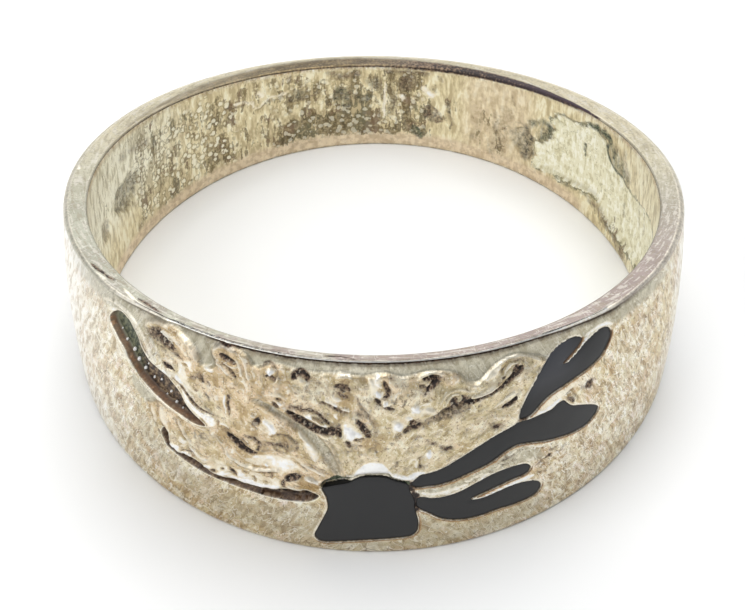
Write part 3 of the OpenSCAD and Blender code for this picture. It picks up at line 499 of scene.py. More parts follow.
# Areas: kind, amount, soft edge, outline
areas = [
    ("pale", 1.0, 0.10, [(-5.75, 2.55), (-5.3, 2.72), (-5.1, 2.75), (-5.12, 2.5), (-5.32, 2.35),
        (-5.2, 2.1), (-5.28, 1.95), (-5.12, 1.75), (-5.3, 1.6), (-5.6, 1.84), (-6.1, 1.96), (-5.7, 2.08),
        (-5.55, 2.25)]),
    ("pale", 1.0, 0.10, [(-5.45, 1.55), (-5.25, 1.42), (-5.05, 1.12), (-4.8, 0.96), (-4.4, 0.92),
        (-4.25, 0.7), (-4.5, 0.5), (-4.75, 0.72), (-5.0, 0.82), (-5.3, 1.06), (-5.42, 1.3)]),
    ("pale", 0.72, 0.16, [(-3.3, -0.25), (-2.6, 0.0), (-2.0, 0.02), (-1.7, -0.1), (-1.35, -0.42),
        (-1.1, -0.6), (-1.55, -0.5), (-2.1, -0.58), (-2.25, -1.0), (-2.3, -1.25), (-3.0, -1.38),
        (-4.2, -1.4), (-4.2, -1.0), (-3.3, -0.85)]),
    ("grime", 1.0, 0.08, [(-1.62, -0.62), (-1.35, -0.6), (-1.12, -0.72), (-1.05, -1.0), (-1.2, -1.14),
        (-1.6, -1.1), (-1.72, -0.9)]),
    ("speck", 1.0, 0.3, [(1.9, -1.0), (2.6, -1.05), (3.4, -0.8), (4.4, -0.3), (5.0, -0.1), (6.4, -0.5),
        (7.0, -1.6), (6.2, -2.4), (5.6, -1.4), (5.4, -0.85), (4.6, -0.8), (3.6, -1.1), (2.8, -1.4),
        (2.0, -1.3)]),
    ("pale", 0.6, 0.20, [(-2.9, 0.0), (-2.2, 0.18), (-1.7, 0.2), (-1.5, 0.0), (-1.7, -0.35), (-2.4, -0.4),
        (-3.0, -0.2)]),
    ("pale", 0.6, 0.15, [(-2.85, 1.45), (-2.3, 1.5), (-2.3, 1.1), (-2.6, 0.8), (-2.9, 0.95)]),
    ("pale", 0.9, 0.10, [(-0.36, 1.62), (0.0, 1.66), (0.25, 1.2), (0.2, 1.02), (-0.3, 1.04)]),
    ("pale", 0.35, 0.20, [(-4.9, -0.95), (-4.2, -0.75), (-3.5, -0.9), (-3.0, -0.9), (-3.1, -1.35),
        (-4.3, -1.35), (-4.9, -1.25)]),
    ("pale", 0.7, 0.12, [(1.1, 1.85), (1.5, 2.0), (1.9, 2.35), (2.4, 2.25), (2.3, 1.95), (1.7, 1.8),
        (1.3, 1.3), (1.1, 1.4)]),
    ("pale", 0.15, 0.15, [(-3.7, 2.3), (-3.2, 2.3), (-3.3, 1.2), (-3.9, 0.9), (-4.4, 0.9), (-4.0, 1.6)]),
    ("pale", 0.5, 0.15, [(5.35, 1.1), (5.8, 1.55), (6.5, 1.72), (7.2, 1.78), (7.0, 1.35), (6.4, 1.2),
        (6.0, 1.02)]),
    ("patina", 0.9, 0.10, [(-7.5, 1.02), (-7.0, 0.86), (-6.5, 0.62), (-6.6, 0.45), (-6.95, 0.2),
        (-7.3, 0.3), (-7.62, 0.6)]),
    ("patina", 0.35, 0.4, [(-7.3, 0.0), (-6.9, -0.8), (-6.4, -1.6), (-5.0, -2.0), (-3.0, -2.2),
        (-1.1, -1.9), (-1.2, -3.2), (-2.0, -3.4), (-4.0, -3.3), (-6.4, -2.6), (-7.6, -1.2)]),
    ("patina", 0.8, 0.2, [(1.9, -1.0), (2.6, -1.05), (3.4, -0.8), (4.4, -0.3), (5.0, -0.1), (5.6, -0.4),
        (6.0, -1.0), (5.4, -0.85), (4.6, -0.8), (3.6, -1.1), (2.8, -1.4), (2.0, -1.3)]),
    ("patina", 0.45, 0.3, [(1.95, -2.1), (2.5, -2.6), (3.4, -2.9), (5.8, -2.8), (6.0, -3.4), (4.0, -3.7),
        (0.0, -3.8), (-1.0, -3.7), (0.0, -3.45), (1.8, -3.3)]),
]


def sheetHeight(s, h):
    # where the lean of the wall makes a point of the front seem to lie
    return h + ring["leanSeen"] * slope(s, h)


def lumps(s, h, size, octaves, seed):
    k = 1 / size
    return np.array([noise.fractal(Vector((a * k, b * k, seed)), 1.0, 2.0, octaves)
                     for a, b in zip(s, h)])


def near(loop, s, h, margin):
    # the points that lie within the box of a line or an outline
    low, high = loop.min(0) - margin, loop.max(0) + margin
    return np.where((s > low[0]) & (s < high[0]) & (h > low[1]) & (h < high[1]))[0]


def nearOutline(loop, s, h, margin):
    # the points near an outline, and their distance to it
    i = near(loop, s, h, margin)
    return i, outlineDistance(loop, s[i], h[i])[0]


def blend(old, new, share):
    return old + (new - old) * share


def tint(paint, i, share, **values):
    for key, value in values.items():
        paint[key][i] = blend(paint[key][i], value, share)


# the band
band = {
    "fineFrom": -9.4, "fineTo": 8.9, "fineStep": 0.05, "columns": 476,
    "rowsFrom": -3.9, "rowsTo": 3.72, "split": -1.9,
    "lowRows": 27, "highRows": 111, "lowStep": 0.077, "highStep": 0.052,
    "pocket": 0.36, "leafDepth": 0.24, "hemDepth": 0.30, "hollowDepth": 0.24, "field": 0.08,
    "leafFlank": 0.11, "hemFlank": 0.08, "seam": 0.05, "cutReach": 0.3,
    "fan": (0.3, -1.6), "strokes": 200, "stripStrokes": 70,
}
# what the finish reads from the points of the mesh
tints = ("tone", "patina", "tan", "speck", "green", "clean", "grime", "cut", "flank", "rise", "seam")


def columnAngles():
    b = band
    fine = np.arange(b["fineFrom"], b["fineTo"], b["fineStep"]) / ring["layRadius"]
    half = (b["columns"] - len(fine)) // 2
    left = np.linspace(-pi, fine[0], half, endpoint=False)
    right = np.linspace(fine[-1], pi, half + 1, endpoint=False)[1:]
    return np.concatenate([left, fine, right])


def wallRows():
    # shares of the height, closer together over the relief
    b = band
    split = (b["split"] - b["rowsFrom"]) / (b["rowsTo"] - b["rowsFrom"])
    return np.concatenate([np.linspace(0, split, b["lowRows"], endpoint=False),
                           np.linspace(split, 1, b["highRows"])])


def randomStrokes(loop, count, seed):
    # short strokes that fan out from the inlay, as the petals do
    luck = random.Random(seed)
    made = []
    low, high = loop.min(0), loop.max(0)
    while len(made) < count:
        s, h = luck.uniform(low[0], high[0]), luck.uniform(low[1], high[1])
        if outlineDistance(loop, np.array([s]), np.array([h]))[0][0] < 0.02:
            continue
        way = atan2(h - band["fan"][1], s - band["fan"][0]) + luck.gauss(0, 0.5)
        length, bend = luck.uniform(0.10, 0.36), luck.gauss(0, 0.06)
        tone = luck.choice((-1, -1, 1)) * luck.uniform(0.25, 0.7)
        a = (s - cos(way) * length / 2, h - sin(way) * length / 2)
        b = (s - sin(way) * bend, h + cos(way) * bend)
        c = (s + cos(way) * length / 2, h + sin(way) * length / 2)
        # raised strokes are painted pale, as highlights on them, and sunk ones dark
        made.append((0.055 * tone, tone, luck.uniform(0.035, 0.06), [a, b, c]))
    return made


def press(lift, paint, s, sh, mark):
    # one mark: its ends taper, and its edges are soft
    up, tone, half, points = mark
    if half < 0.075 and tone < 0:
        tone *= 0.8
    line = spline(points)
    i = near(line, s, sh, half * 1.7)
    d, along = lineDistance(line, s[i], sh[i])
    taper = 0.45 + 0.55 * np.sqrt(np.clip(1 - (2 * along - 1) ** 2, 0, 1))
    t = np.clip(d / (half * 1.25 * taper), 0, 1)
    lift[i] += up * (0.6 if up < 0 else 1.0) * (1 - t * t) ** 2
    t = np.clip(d / (half * 1.6 * taper), 0, 1)
    paint["tone"][i] = blend(paint["tone"][i], tone, 1 - t * t)
    # a soft painted shade round the deeper cuts
    if up < -0.05:
        i = near(line, s, sh, half * 3.2)
        t = np.clip(lineDistance(line, s[i], sh[i])[0] / (half * 3.2), 0, 1)
        paint["tone"][i] -= 0.16 * (1 - t * t)


def carveChannel(lift, paint, s, sh, loop, depth, slant):
    # slant is the width of the gentle flank on the lower left, and the other flank is steep
    i = near(loop, s, sh, band["cutReach"])
    d, gs, gh = outlineDistance(loop, s[i], sh[i])
    lowerLeft = smooth(-0.1, 0.6, gs * 0.6 + gh * 0.8)
    t = np.clip(d / (0.08 + (slant - 0.08) * lowerLeft), 0, 1)
    share = smooth(-0.02, 0.02, d)
    lift[i] = blend(lift[i], -depth, t * (2 - t) * share)
    paint["flank"][i] = np.where(d > paint["cut"][i], lowerLeft, paint["flank"][i])
    paint["cut"][i] = np.maximum(paint["cut"][i], d)
    tint(paint, i, share, tone=0, patina=0, tan=0, grime=0)
    return i, d


def carve(s, h):
    # height over the wall in mm, and the tints of each point
    b = band
    sh = sheetHeight(s, h)
    rise = topRim(-ring["wallRadius"] * np.cos(s / ring["layRadius"])) - h  # below the upper rim
    paint = {k: np.zeros(s.shape) for k in tints}
    paint["cut"][:] = -b["cutReach"]
    paint["rise"] = np.clip(rise, 0, 1)
    paint["seam"] = (smooth(-5.2, -4.0, s) * smooth(6.6, 5.0, s)
                     + 0.8 * smooth(5.0, 6.6, s) * smooth(9.8, 8.4, s)
                     + 0.4 * smooth(-4.0, -5.2, s) * smooth(-8.6, -7.6, s))
    lift = -slope(s, h)

    # painted reflection, paler at the far sides; painted shade, darker towards the foot in front
    paint["clean"] = np.maximum(smooth(7.2, 13.0, -s), smooth(11.4, 15.6, s))
    paint["clean"] *= 1 - 0.75 * smooth(14.5, 23.0, np.abs(s))
    paint["grime"] = 0.35 * smooth(-1.2, -3.4, h) * smooth(8.5, 5.0, np.abs(s))
    turned = np.maximum(smooth(15.0, 11.0, np.abs(s)), 0.8 * smooth(16.5, 20.0, np.abs(s)))
    paint["speck"] = 0.75 * turned * (1 - 0.6 * paint["clean"])

    relief = np.full(s.shape, -9.0)
    i, d = nearOutline(reliefLoop, s, sh, 0.3)
    relief[i] = d
    inRelief = smooth(-0.05, 0.07, relief)
    # smooth grey field between the relief and the lip, which runs out along both sides
    field = smooth(2.0, 3.1, sh) * fade(s)
    tail = smooth(0.75, 0.45, rise) * smooth(13.0, 10.5, np.abs(s)) * smooth(5.0, 8.0, np.abs(s))
    field = np.maximum(field, tail) * (1 - inRelief)
    lift -= b["field"] * field * fade(s)
    everywhere = slice(None)
    tint(paint, everywhere, field, patina=1, speck=0.25, grime=0.15)
    paint["tone"] += 0.22 * field * smooth(2.5, 0.5, np.abs(s))
    # groove under the lip
    seam = np.exp(-((rise - 0.10) / 0.045) ** 2) * smooth(10.5, 8.0, np.abs(s - 1.6))
    lift -= b["seam"] * seam
    # painted highlight: a pale line along the rim's outer edge in front
    bright = smooth(8.9, 8.3, np.abs(s)) * blend(0.4, 1, smooth(-6.6, -5.6, s))
    paint["tone"] += 0.9 * smooth(0.06, 0.02, rise) * bright

    i = np.where(relief > -0.1)[0]
    k = inRelief[i]
    big = lumps(s[i], sh[i], 0.75, 3, 1.7)
    small = lumps(s[i], sh[i], 0.26, 3, 8.3)
    lift[i] += k * (0.06 * big + 0.03 * small)
    # the lumps are painted paler where they stand higher, as painted light
    paint["tone"][i] += k * (0.24 * big + 0.30 * small - 0.09)
    tint(paint, everywhere, inRelief, tan=1, speck=1, clean=0, grime=0)

    for loop, count, seed in ((reliefLoop, b["strokes"], 5), (stripLoop, b["stripStrokes"], 8)):
        for mark in randomStrokes(loop, count, seed):
            press(lift, paint, s, sh, mark)
    for kind, amount, soft, points in areas:
        i, d = nearOutline(spline(points, True, 4), s, sh, soft)
        share = smooth(-soft / 2, soft / 2, d)
        # highlight areas are painted highlights: their tone is raised
        if kind == "pale":
            paint["tone"][i] += 0.7 * amount * share
        else:
            paint[kind][i] = np.maximum(paint[kind][i], amount * share)
    for mark in marks:
        press(lift, paint, s, sh, mark)

    # smooth valley that sweeps down to the inlay
    i, d = nearOutline(valleyLoop, s, sh, 0.3)
    t = smooth(-0.03, 0.12, d)
    lift[i] = blend(lift[i], lift[i] * 0.3 - 0.11, t)
    tint(paint, i, t, patina=0.75, tan=0.25, speck=1)
    paint["tone"][i] = paint["tone"][i] * (1 - 0.6 * t) - 0.15 * t

    # empty channels
    i, d = carveChannel(lift, paint, s, sh, leafLoop, b["leafDepth"], b["leafFlank"])
    paint["green"][i] = smooth(-0.02, 0.1, d) * smooth(-6.8, -7.8, s[i])
    i, d = carveChannel(lift, paint, s, sh, hemLoop, b["hemDepth"], b["hemFlank"])
    paint["flank"][i] = np.where(d > -0.03, 0.38 * paint["flank"][i], paint["flank"][i])

    # a painted highlight on a patch that is raised a little
    i, d = nearOutline(whiteLoop, s, sh, 0.2)
    tint(paint, i, smooth(-0.05, 0.03, d), tone=1.1)
    lift[i] += 0.04 * smooth(-0.05, 0.12, d)
    # hollow and ledge round the inlay's top
    i, d = nearOutline(hollowLoop, s, sh, 0.2)
    deepest = blend(0.09, b["hollowDepth"], smooth(0.0, -0.4, s[i]))
    lift[i] = blend(lift[i], -deepest, smooth(0.0, 0.07, d))
    ledge = smooth(-0.25, 0.05, s[i])
    # the hollow is dark green; on the ledge, a dark line just inside its edge is painted shadow
    dark = blend(-1, -0.95 * np.exp(-((d - 0.02) / 0.035) ** 2) - 0.12, ledge)
    tint(paint, i, smooth(-0.03, 0.03, d), tone=dark, green=1, patina=ledge, tan=0)

    for loop in inlayLoops.values():
        carvePocket(lift, paint, s, sh, loop)
    for mark in necks:
        press(lift, paint, s, sh, mark)
    return lift, paint


def carvePocket(lift, paint, s, sh, loop):
    reach = band["cutReach"]
    i = near(loop, s, sh, reach)
    d, gs, gh = outlineDistance(loop, s[i], sh[i])
    out = np.where(d < 0, 1, -1)
    foot = smooth(-0.1, 0.8, (gs * 0.5 - gh * 0.87) * out)  # lower right side
    head = smooth(-0.3, 0.6, (-gs * 0.5 + gh * 0.87) * out)
    # painted highlight: a pale raised line outside the upper left edges
    share = smooth(-0.10, -0.03, d) * (d < 0) * head
    lift[i] += 0.02 * share
    tint(paint, i, 0.85 * share, tone=0.8)
    # painted shadow: darker outside the lower right edges
    tint(paint, i, np.exp(-(np.minimum(d, 0) / 0.08) ** 2) * foot, tone=-0.25)
    paint["flank"][i] = np.where(d > paint["cut"][i], -foot, paint["flank"][i])
    paint["cut"][i] = np.maximum(paint["cut"][i], np.clip(d, -reach, reach))
    lift[i] = blend(lift[i], -band["pocket"], smooth(0.004, 0.04, d))
    tint(paint, i, smooth(-0.006, 0.006, d), tone=-0.75, green=0, patina=0, tan=0)


def snapped(s, h):
    # points near an inlay's or a channel's outline move onto it, so that its edge runs smoothly
    s, h = s.copy(), h.copy()
    step = np.where(h < band["split"], band["lowStep"], band["highStep"])
    for loop in list(inlayLoops.values()) + [leafLoop, hemLoop]:
        sh = sheetHeight(s, h)
        i = near(loop, s, sh, 0.2)
        d, gs, gh = outlineDistance(loop, s[i], sh[i])
        # a little over half a step
        reach = 0.51 * np.maximum(band["fineStep"] * np.abs(gs), step[i] * np.abs(gh))
        move = np.where(np.abs(d) < reach, np.abs(d), 0)
        s[i] -= gs * move
        h[i] -= gh * move
    return s, h


def layWall():
    # the outer side, from the lower rim to the top of the upper rim's bevel
    phi = columnAngles()
    shares = wallRows()
    y = -ring["wallRadius"] * np.cos(phi)
    bevel = bevels(phi)[0]
    foot = wallAt(phi, lowRim(y))
    low, high = lowRim(y) + 0.12, topRim(y) - bevel
    h = low[:, None] + shares[None, :] * (high - low)[:, None]
    s = np.repeat((phi * ring["layRadius"])[:, None], len(shares), 1)
    s1, h1 = snapped(s.ravel(), h.ravel())
    lift, paint = carve(s1, h1)
    phi1 = s1 / ring["layRadius"]
    wall = dict(phi=phi1, r=wallAt(phi1, h1) + lift, h=h1, **paint)
    wall = {k: v.reshape(h.shape) for k, v in wall.items()}

    top = wall["r"][:, -1]
    edge = []
    for k in (1, 2, 3):
        a = k / 3 * pi / 2
        r = top - bevel * (1 - cos(a))
        edge.append((r, topRim(-r * np.cos(phi)) - bevel * (1 - sin(a))))
    rows = [(foot - 0.10, lowRim(-(foot - 0.1) * np.cos(phi))), (foot - 0.03, lowRim(y) + 0.04)]
    made = {}
    for key, v in wall.items():
        made[key] = np.hstack([v[:, :1]] * len(rows) + [v] + [v[:, -1:]] * len(edge))
    along = phi * ring["layRadius"]
    for j, (r, height) in enumerate(rows):
        made["phi"][:, j], made["r"][:, j], made["h"][:, j] = phi, r, height
    for j, (r, height) in enumerate(edge, made["r"].shape[1] - len(edge)):
        made["phi"][:, j], made["r"][:, j], made["h"][:, j] = phi, r, height
        made["rise"][:, j] = 0
        # the rim's outer bevel is painted pale, a painted highlight that is strongest in front
        bright = smooth(8.9, 8.3, np.abs(along)) * blend(0.3, 1, smooth(-6.6, -5.6, along))
        made["tone"][:, j] = 0.3 + 0.7 * bright * blend(0.45, 1, smooth(7.0, 5.0, along))
    made["rim"] = np.zeros(made["h"].shape)
    made["rim"][:, -4:] = (0.5, 1, 1, 1)
    # grain leans away from the front on both sides
    along = made["phi"] * ring["layRadius"]
    made["u"] = along + 0.5 * np.tanh(along / 3) * made["h"]
    made["v"] = made["h"]
    made["turn"] = 2 * pi * ring["layRadius"]
    # the way out from the inlay, along which the relief flows
    fromS, fromH = along - band["fan"][0], made["h"] - band["fan"][1]
    made["fanTurn"] = 2.6 * np.arctan2(fromS, fromH) * mm
    made["fanReach"] = np.hypot(fromS, fromH) * mm
    return made


def bevels(phi):
    # of the upper rim, outside and inside: fine in front, worn round at the back
    front = np.cos(phi) * 0.5 + 0.5
    return 0.20 - 0.13 * smooth(0.4, 1.0, front), 0.12 - 0.06 * smooth(0.3, 0.9, front)


def backLength(phi):
    # length round the hole from the middle of the back, negative on the photo's right
    return np.arctan2(np.sin(phi + pi), np.cos(phi + pi)) * ring["holeRadius"]


def bandShape(x, a, b, c, d):
    return smooth(a, b, x) * smooth(d, c, x)


inside = {
    "step": 0.1, "reach": 14.2, "frontColumns": 180, "rows": 44, "rimRows": 8, "wander": 0.22,
    "rimEnd": 1.05, "beyondRim": 1.1,  # places across the rim, which runs from 0 to 1
    "roll": 0.8,  # height of the rounded inner edge, as a share of its width
    "wornReach": 0.5, "lowEdge": 0.10,
}
# the dark stain that runs round the upper rim at the back:
# place, where it lies across the rim from outside to inside, half width, tone, hue, olive
rimStain = np.array([
    (-9.4, 0.82, 0.06, -0.6, -0.9, 0.0), (-8.2, 0.78, 0.14, -1.1, -0.9, 0.0),
    (-6.0, 0.74, 0.22, -1.2, -0.7, 0.1), (-4.0, 0.70, 0.27, -1.15, -0.3, 0.2),
    (-2.0, 0.66, 0.31, -0.9, 0.0, 0.5), (0.0, 0.62, 0.36, -0.45, 0.0, 0.9),
    (2.0, 0.60, 0.38, -0.3, 0.0, 1.0), (4.0, 0.62, 0.36, -0.24, 0.0, 1.0),
    (6.0, 0.66, 0.33, -0.2, 0.0, 0.85), (8.0, 0.70, 0.30, -0.2, 0.0, 0.7),
    (10.0, 0.74, 0.26, -0.15, 0.0, 0.5), (12.5, 0.82, 0.2, -0.1, 0.0, 0.3),
    (16.0, 0.88, 0.1, 0.0, 0.0, 0.0),
])
# Marks on the flat of the rim: tone, half width, points (s round the wall, radius)
rimMarks = [
    (-0.9, 0.07, [(-10.2, 10.14), (-9.89, 10.10), (-9.62, 10.02)]),
    (-0.8, 0.05, [(-9.5, 10.02), (-9.26, 10.0), (-9.03, 9.92)]),
    (0.5, 0.05, [(-10.1, 10.28), (-9.7, 10.2), (-9.3, 10.12)]),
    (-0.9, 0.05, [(-7.6, 9.94), (-7.28, 9.92), (-7.01, 9.94), (-6.7, 9.96)]),
    (0.6, 0.06, [(-8.3, 9.96), (-7.6, 10.08), (-6.9, 10.1)]),
    (-0.3, 0.04, [(-8.6, 9.74), (-7.6, 9.76), (-6.2, 9.82), (-4.5, 9.86)]),
    (-0.9, 0.035, [(-0.86, 9.88), (-0.45, 9.84), (-0.1, 9.94)]),
    (-0.35, 0.04, [(0.1, 9.93), (1.2, 9.92), (2.4, 9.88)]),
    (-0.4, 0.04, [(-4.4, 10.0), (-3.2, 9.94), (-2.2, 9.9)]),
    (-0.6, 0.05, [(8.4, 10.2), (8.5, 10.12)]),
    (0.5, 0.05, [(8.25, 10.28), (8.5, 10.24)]),
    (0.9, 0.035, [(-16.76, 10.3), (-16.5, 9.95)]),
    (-0.35, 0.04, [(-16.95, 10.3), (-16.7, 9.95)]),
]
wornLoop = spline([
    (-6.9, 1.05), (-7.2, 1.35), (-7.75, 1.4), (-8.3, 1.45), (-8.95, 1.72), (-9.5, 1.65), (-9.85, 1.6),
    (-9.9, 1.3), (-10.1, 0.95), (-10.55, 0.78), (-11.05, 0.75), (-11.65, 0.6), (-12.6, 0.7),
    (-14.6, 0.9), (-15.2, -0.6), (-14.0, -2.0), (-12.5, -1.95), (-11.75, -1.95), (-11.0, -1.85),
        (-10.3, -1.75),
    (-9.75, -1.35), (-9.35, -1.15), (-8.6, -1.25), (-7.7, -1.4), (-6.95, -1.4), (-6.25, -1.45),
    (-6.1, -1.1), (-6.15, -0.55), (-6.2, -0.2), (-6.55, -0.2), (-6.9, 0.25), (-7.05, 0.7),
], True, 4)
# Tarnished parts of the hole: from, to, foot, head, amount
tarnished = [
    (-1.6, 0.3, -1.7, 1.75, 0.9), (0.2, 4.6, -1.7, -0.3, 1.45), (1.0, 2.5, -0.1, 1.4, 1.0),
    (0.3, 1.2, -0.2, 0.8, 0.6), (3.1, 4.1, 0.2, 1.2, 0.6), (2.3, 6.3, 0.0, 1.6, 0.25),
    (4.4, 7.6, -1.6, -0.2, 0.65), (6.1, 7.4, 0.1, 1.4, 0.65), (7.0, 11.6, -1.9, 1.5, 0.27),
    (10.4, 11.2, 1.2, 2.0, 0.6), (-2.7, -2.2, -1.0, 0.4, 0.55), (-5.0, -4.2, -1.6, 0.2, 0.4),
    (-4.1, -3.5, -1.2, 0.0, 0.36), (-12.0, -9.6, -2.5, -1.6, 0.5),
]
# Hollows: depth, tone, hue, soft edge, outline
hollows = [
    (0.15, -0.42, 0.5, 0.16, [(-5.1, -0.2), (-5.4, 0.2), (-5.85, 0.15), (-6.05, -0.2), (-6.1, -0.7),
        (-6.05, -1.2), (-5.7, -1.2), (-5.3, -1.0), (-5.1, -0.65)]),
    (0.04, -0.55, 0.6, 0.22, [(2.15, 0.8), (1.8, 0.92), (1.45, 0.75), (1.25, 0.35), (1.5, -0.25),
        (1.95, -0.05), (2.25, 0.4)]),
    (0.02, -0.45, 0.6, 0.22, [(1.25, 0.5), (0.9, 0.6), (0.5, 0.45), (0.6, 0.05), (0.9, -0.1),
        (1.15, 0.1)]),
    (0.03, -0.45, -0.3, 0.2, [(-0.7, 1.4), (-1.1, 1.3), (-1.15, 0.8), (-0.8, 0.5), (-0.4, 0.85),
        (-0.4, 1.25)]),
    (0.03, -0.6, 0.2, 0.16, [(-1.7, 0.05), (-2.05, -0.1), (-2.15, -0.5), (-1.8, -0.7), (-1.5, -0.5),
        (-1.5, -0.1)]),
    (0.02, -0.6, 0.9, 0.14, [(-0.95, -1.05), (-1.3, -1.0), (-1.4, -1.3), (-1.15, -1.5), (-0.9, -1.3)]),
    (0.03, -0.45, 0.5, 0.16, [(3.55, 1.0), (3.2, 0.85), (3.2, 0.45), (3.6, 0.3), (3.85, 0.45),
        (3.8, 0.75)]),
    (0.14, -0.45, 0.45, 0.2, [(11.4, 0.75), (11.2, 0.3), (11.35, -0.2), (11.9, -0.55), (12.6, -0.5),
        (13.1, 0.1), (12.9, 0.6), (12.2, 0.8)]),
    (0.12, -0.4, 0.1, 0.2, [(13.9, 0.4), (13.55, -0.1), (13.75, -0.6), (14.3, -0.65), (14.6, -0.1),
        (14.5, 0.35)]),
]
# Stains and scratches inside: depth, tone, hue, half width, points
stains = [
    (0.0, -0.62, 0.45, 0.22, [(-5.78, 0.05), (-5.84, -0.4), (-5.86, -0.8), (-5.8, -1.1)]),
    (0.02, -0.45, 0.3, 0.04, [(-5.12, -0.6), (-5.08, -0.15), (-5.35, 0.25), (-5.7, 0.3)]),
    (0.03, -0.55, 0.8, 0.17, [(-6.0, 0.45), (-6.3, 0.62), (-6.6, 0.74), (-6.9, 0.6)]),
    (0.03, -0.6, 0.8, 0.20, [(-6.85, 0.42), (-6.66, 0.2), (-6.5, -0.02)]),
    (0.0, -0.4, 0.4, 0.10, [(-6.3, 0.5), (-6.5, 0.35), (-6.35, 0.1)]),
    (0.0, -0.35, 0.8, 0.06, [(-7.3, 0.9), (-7.1, 1.15), (-6.8, 1.1)]),
    (0.03, -0.5, 0.9, 0.07, [(-7.05, 1.25), (-7.45, 1.47), (-7.9, 1.4), (-8.5, 1.55), (-8.95, 1.72)]),
    (0.04, -0.7, 0.9, 0.14, [(-8.9, 1.7), (-9.3, 1.82), (-9.75, 1.86), (-10.1, 1.8)]),
    (0.04, -0.8, 1.0, 0.08, [(-10.15, 1.78), (-9.95, 1.35), (-10.1, 0.98), (-10.45, 0.72),
        (-11.05, 0.78)]),
    (0.0, -0.55, 0.8, 0.30, [(-10.4, 1.5), (-10.6, 1.1), (-11.0, 1.25), (-11.4, 1.0)]),
    (0.0, -0.4, 0.1, 0.16, [(-11.1, 1.9), (-11.3, 1.5), (-11.4, 1.2)]),
    (0.03, -0.7, 0.9, 0.06, [(-8.52, 0.68), (-8.6, 0.5), (-8.65, 0.28)]),
    (0.0, -0.5, 0.2, 0.16, [(-9.2, -1.45), (-9.75, -1.48), (-10.3, -1.8), (-11.0, -2.08), (-11.6, -2.3)]),
    (0.02, -0.45, 0.6, 0.05, [(-6.15, -1.35), (-6.95, -1.5), (-7.7, -1.5), (-8.6, -1.36), (-9.2, -1.3)]),
    (0.0, -0.35, 0.0, 0.08, [(-12.9, 0.7), (-13.0, 0.2), (-13.05, -0.4)]),
    (0.0, -0.25, 0.0, 0.10, [(-12.4, 0.4), (-12.5, -0.5)]),
    (0.0, -0.4, 0.3, 0.08, [(-11.2, -0.3), (-11.25, -0.8)]),
    (0.0, -0.30, 0.2, 0.34, [(-4.9, 0.5), (-4.75, -0.4), (-4.6, -1.4)]),
    (0.0, -0.34, 0.2, 0.16, [(-4.45, 0.3), (-4.4, -0.5), (-4.3, -1.5)]),
    (0.0, -0.26, 0.2, 0.20, [(-3.8, 0.1), (-3.6, -0.9)]),
    (0.0, -0.35, 0.3, 0.06, [(-5.1, 1.4), (-5.2, 1.0)]),
    (0.02, -0.6, 0.4, 0.08, [(-2.45, 0.35), (-2.5, -0.1), (-2.6, -0.65)]),
    (0.0, -0.5, 0.0, 0.09, [(-2.12, 1.45), (-2.18, 1.25)]),
    (0.0, -0.5, 0.1, 0.10, [(-1.9, 0.95), (-1.85, 0.8)]),
    (0.0, -0.22, 0.1, 0.26, [(5.4, -0.6), (4.85, -0.9), (3.85, -1.4), (2.5, -1.3), (1.2, -1.15),
        (-0.1, -1.45)]),
    (0.0, -0.2, 0.4, 0.22, [(4.4, -0.2), (3.4, -0.5), (2.4, -0.7)]),
    (0.0, -0.5, 0.1, 0.16, [(2.3, 1.45), (1.7, 1.3), (1.15, 1.35)]),
    (0.0, -0.5, 0.0, 0.14, [(-0.1, 1.5), (-0.8, 1.55), (-1.5, 1.5)]),
    (0.0, -0.45, 0.4, 0.24, [(0.6, 1.0), (0.0, 0.6), (-0.2, 0.0), (0.2, -0.6)]),
    (0.03, -0.5, 0.1, 0.05, [(6.6, 0.9), (6.2, 0.82), (5.65, 0.78), (5.3, 0.42), (4.8, 0.65), (4.1, 0.72),
        (3.8, 0.46), (3.4, 0.46), (2.6, 0.68)]),
    (-0.02, 0.5, 0.0, 0.06, [(6.2, 0.92), (5.65, 0.88), (5.28, 0.54), (4.8, 0.77), (4.1, 0.84)]),
    (-0.03, 0.7, 0.0, 0.14, [(-1.5, 0.8), (-1.75, 0.6)]),
    (-0.03, 0.7, 0.0, 0.10, [(-0.55, 0.4), (-0.65, 0.28)]),
    (-0.03, 0.6, 0.0, 0.10, [(5.1, 1.15), (5.0, 1.05)]),
    (-0.03, 0.6, 0.0, 0.07, [(0.1, 0.9), (0.1, 0.0), (0.15, -0.6)]),
    (0.0, -0.2, 0.3, 0.30, [(7.2, 0.7), (7.4, -0.2), (7.1, -1.2)]),
    (0.0, -0.35, 0.2, 0.22, [(10.6, 1.4), (11.2, 1.6), (12.3, 1.8)]),
    (0.0, -0.3, 0.1, 0.12, [(10.9, 0.9), (11.1, 0.2), (11.2, -0.6)]),
    (0.0, -0.4, 0.2, 0.16, [(11.2, -1.7), (11.5, -1.8)]),
    (0.02, -0.4, 0.1, 0.04, [(14.2, 2.2), (13.7, 2.0), (13.3, 1.8)]),
]


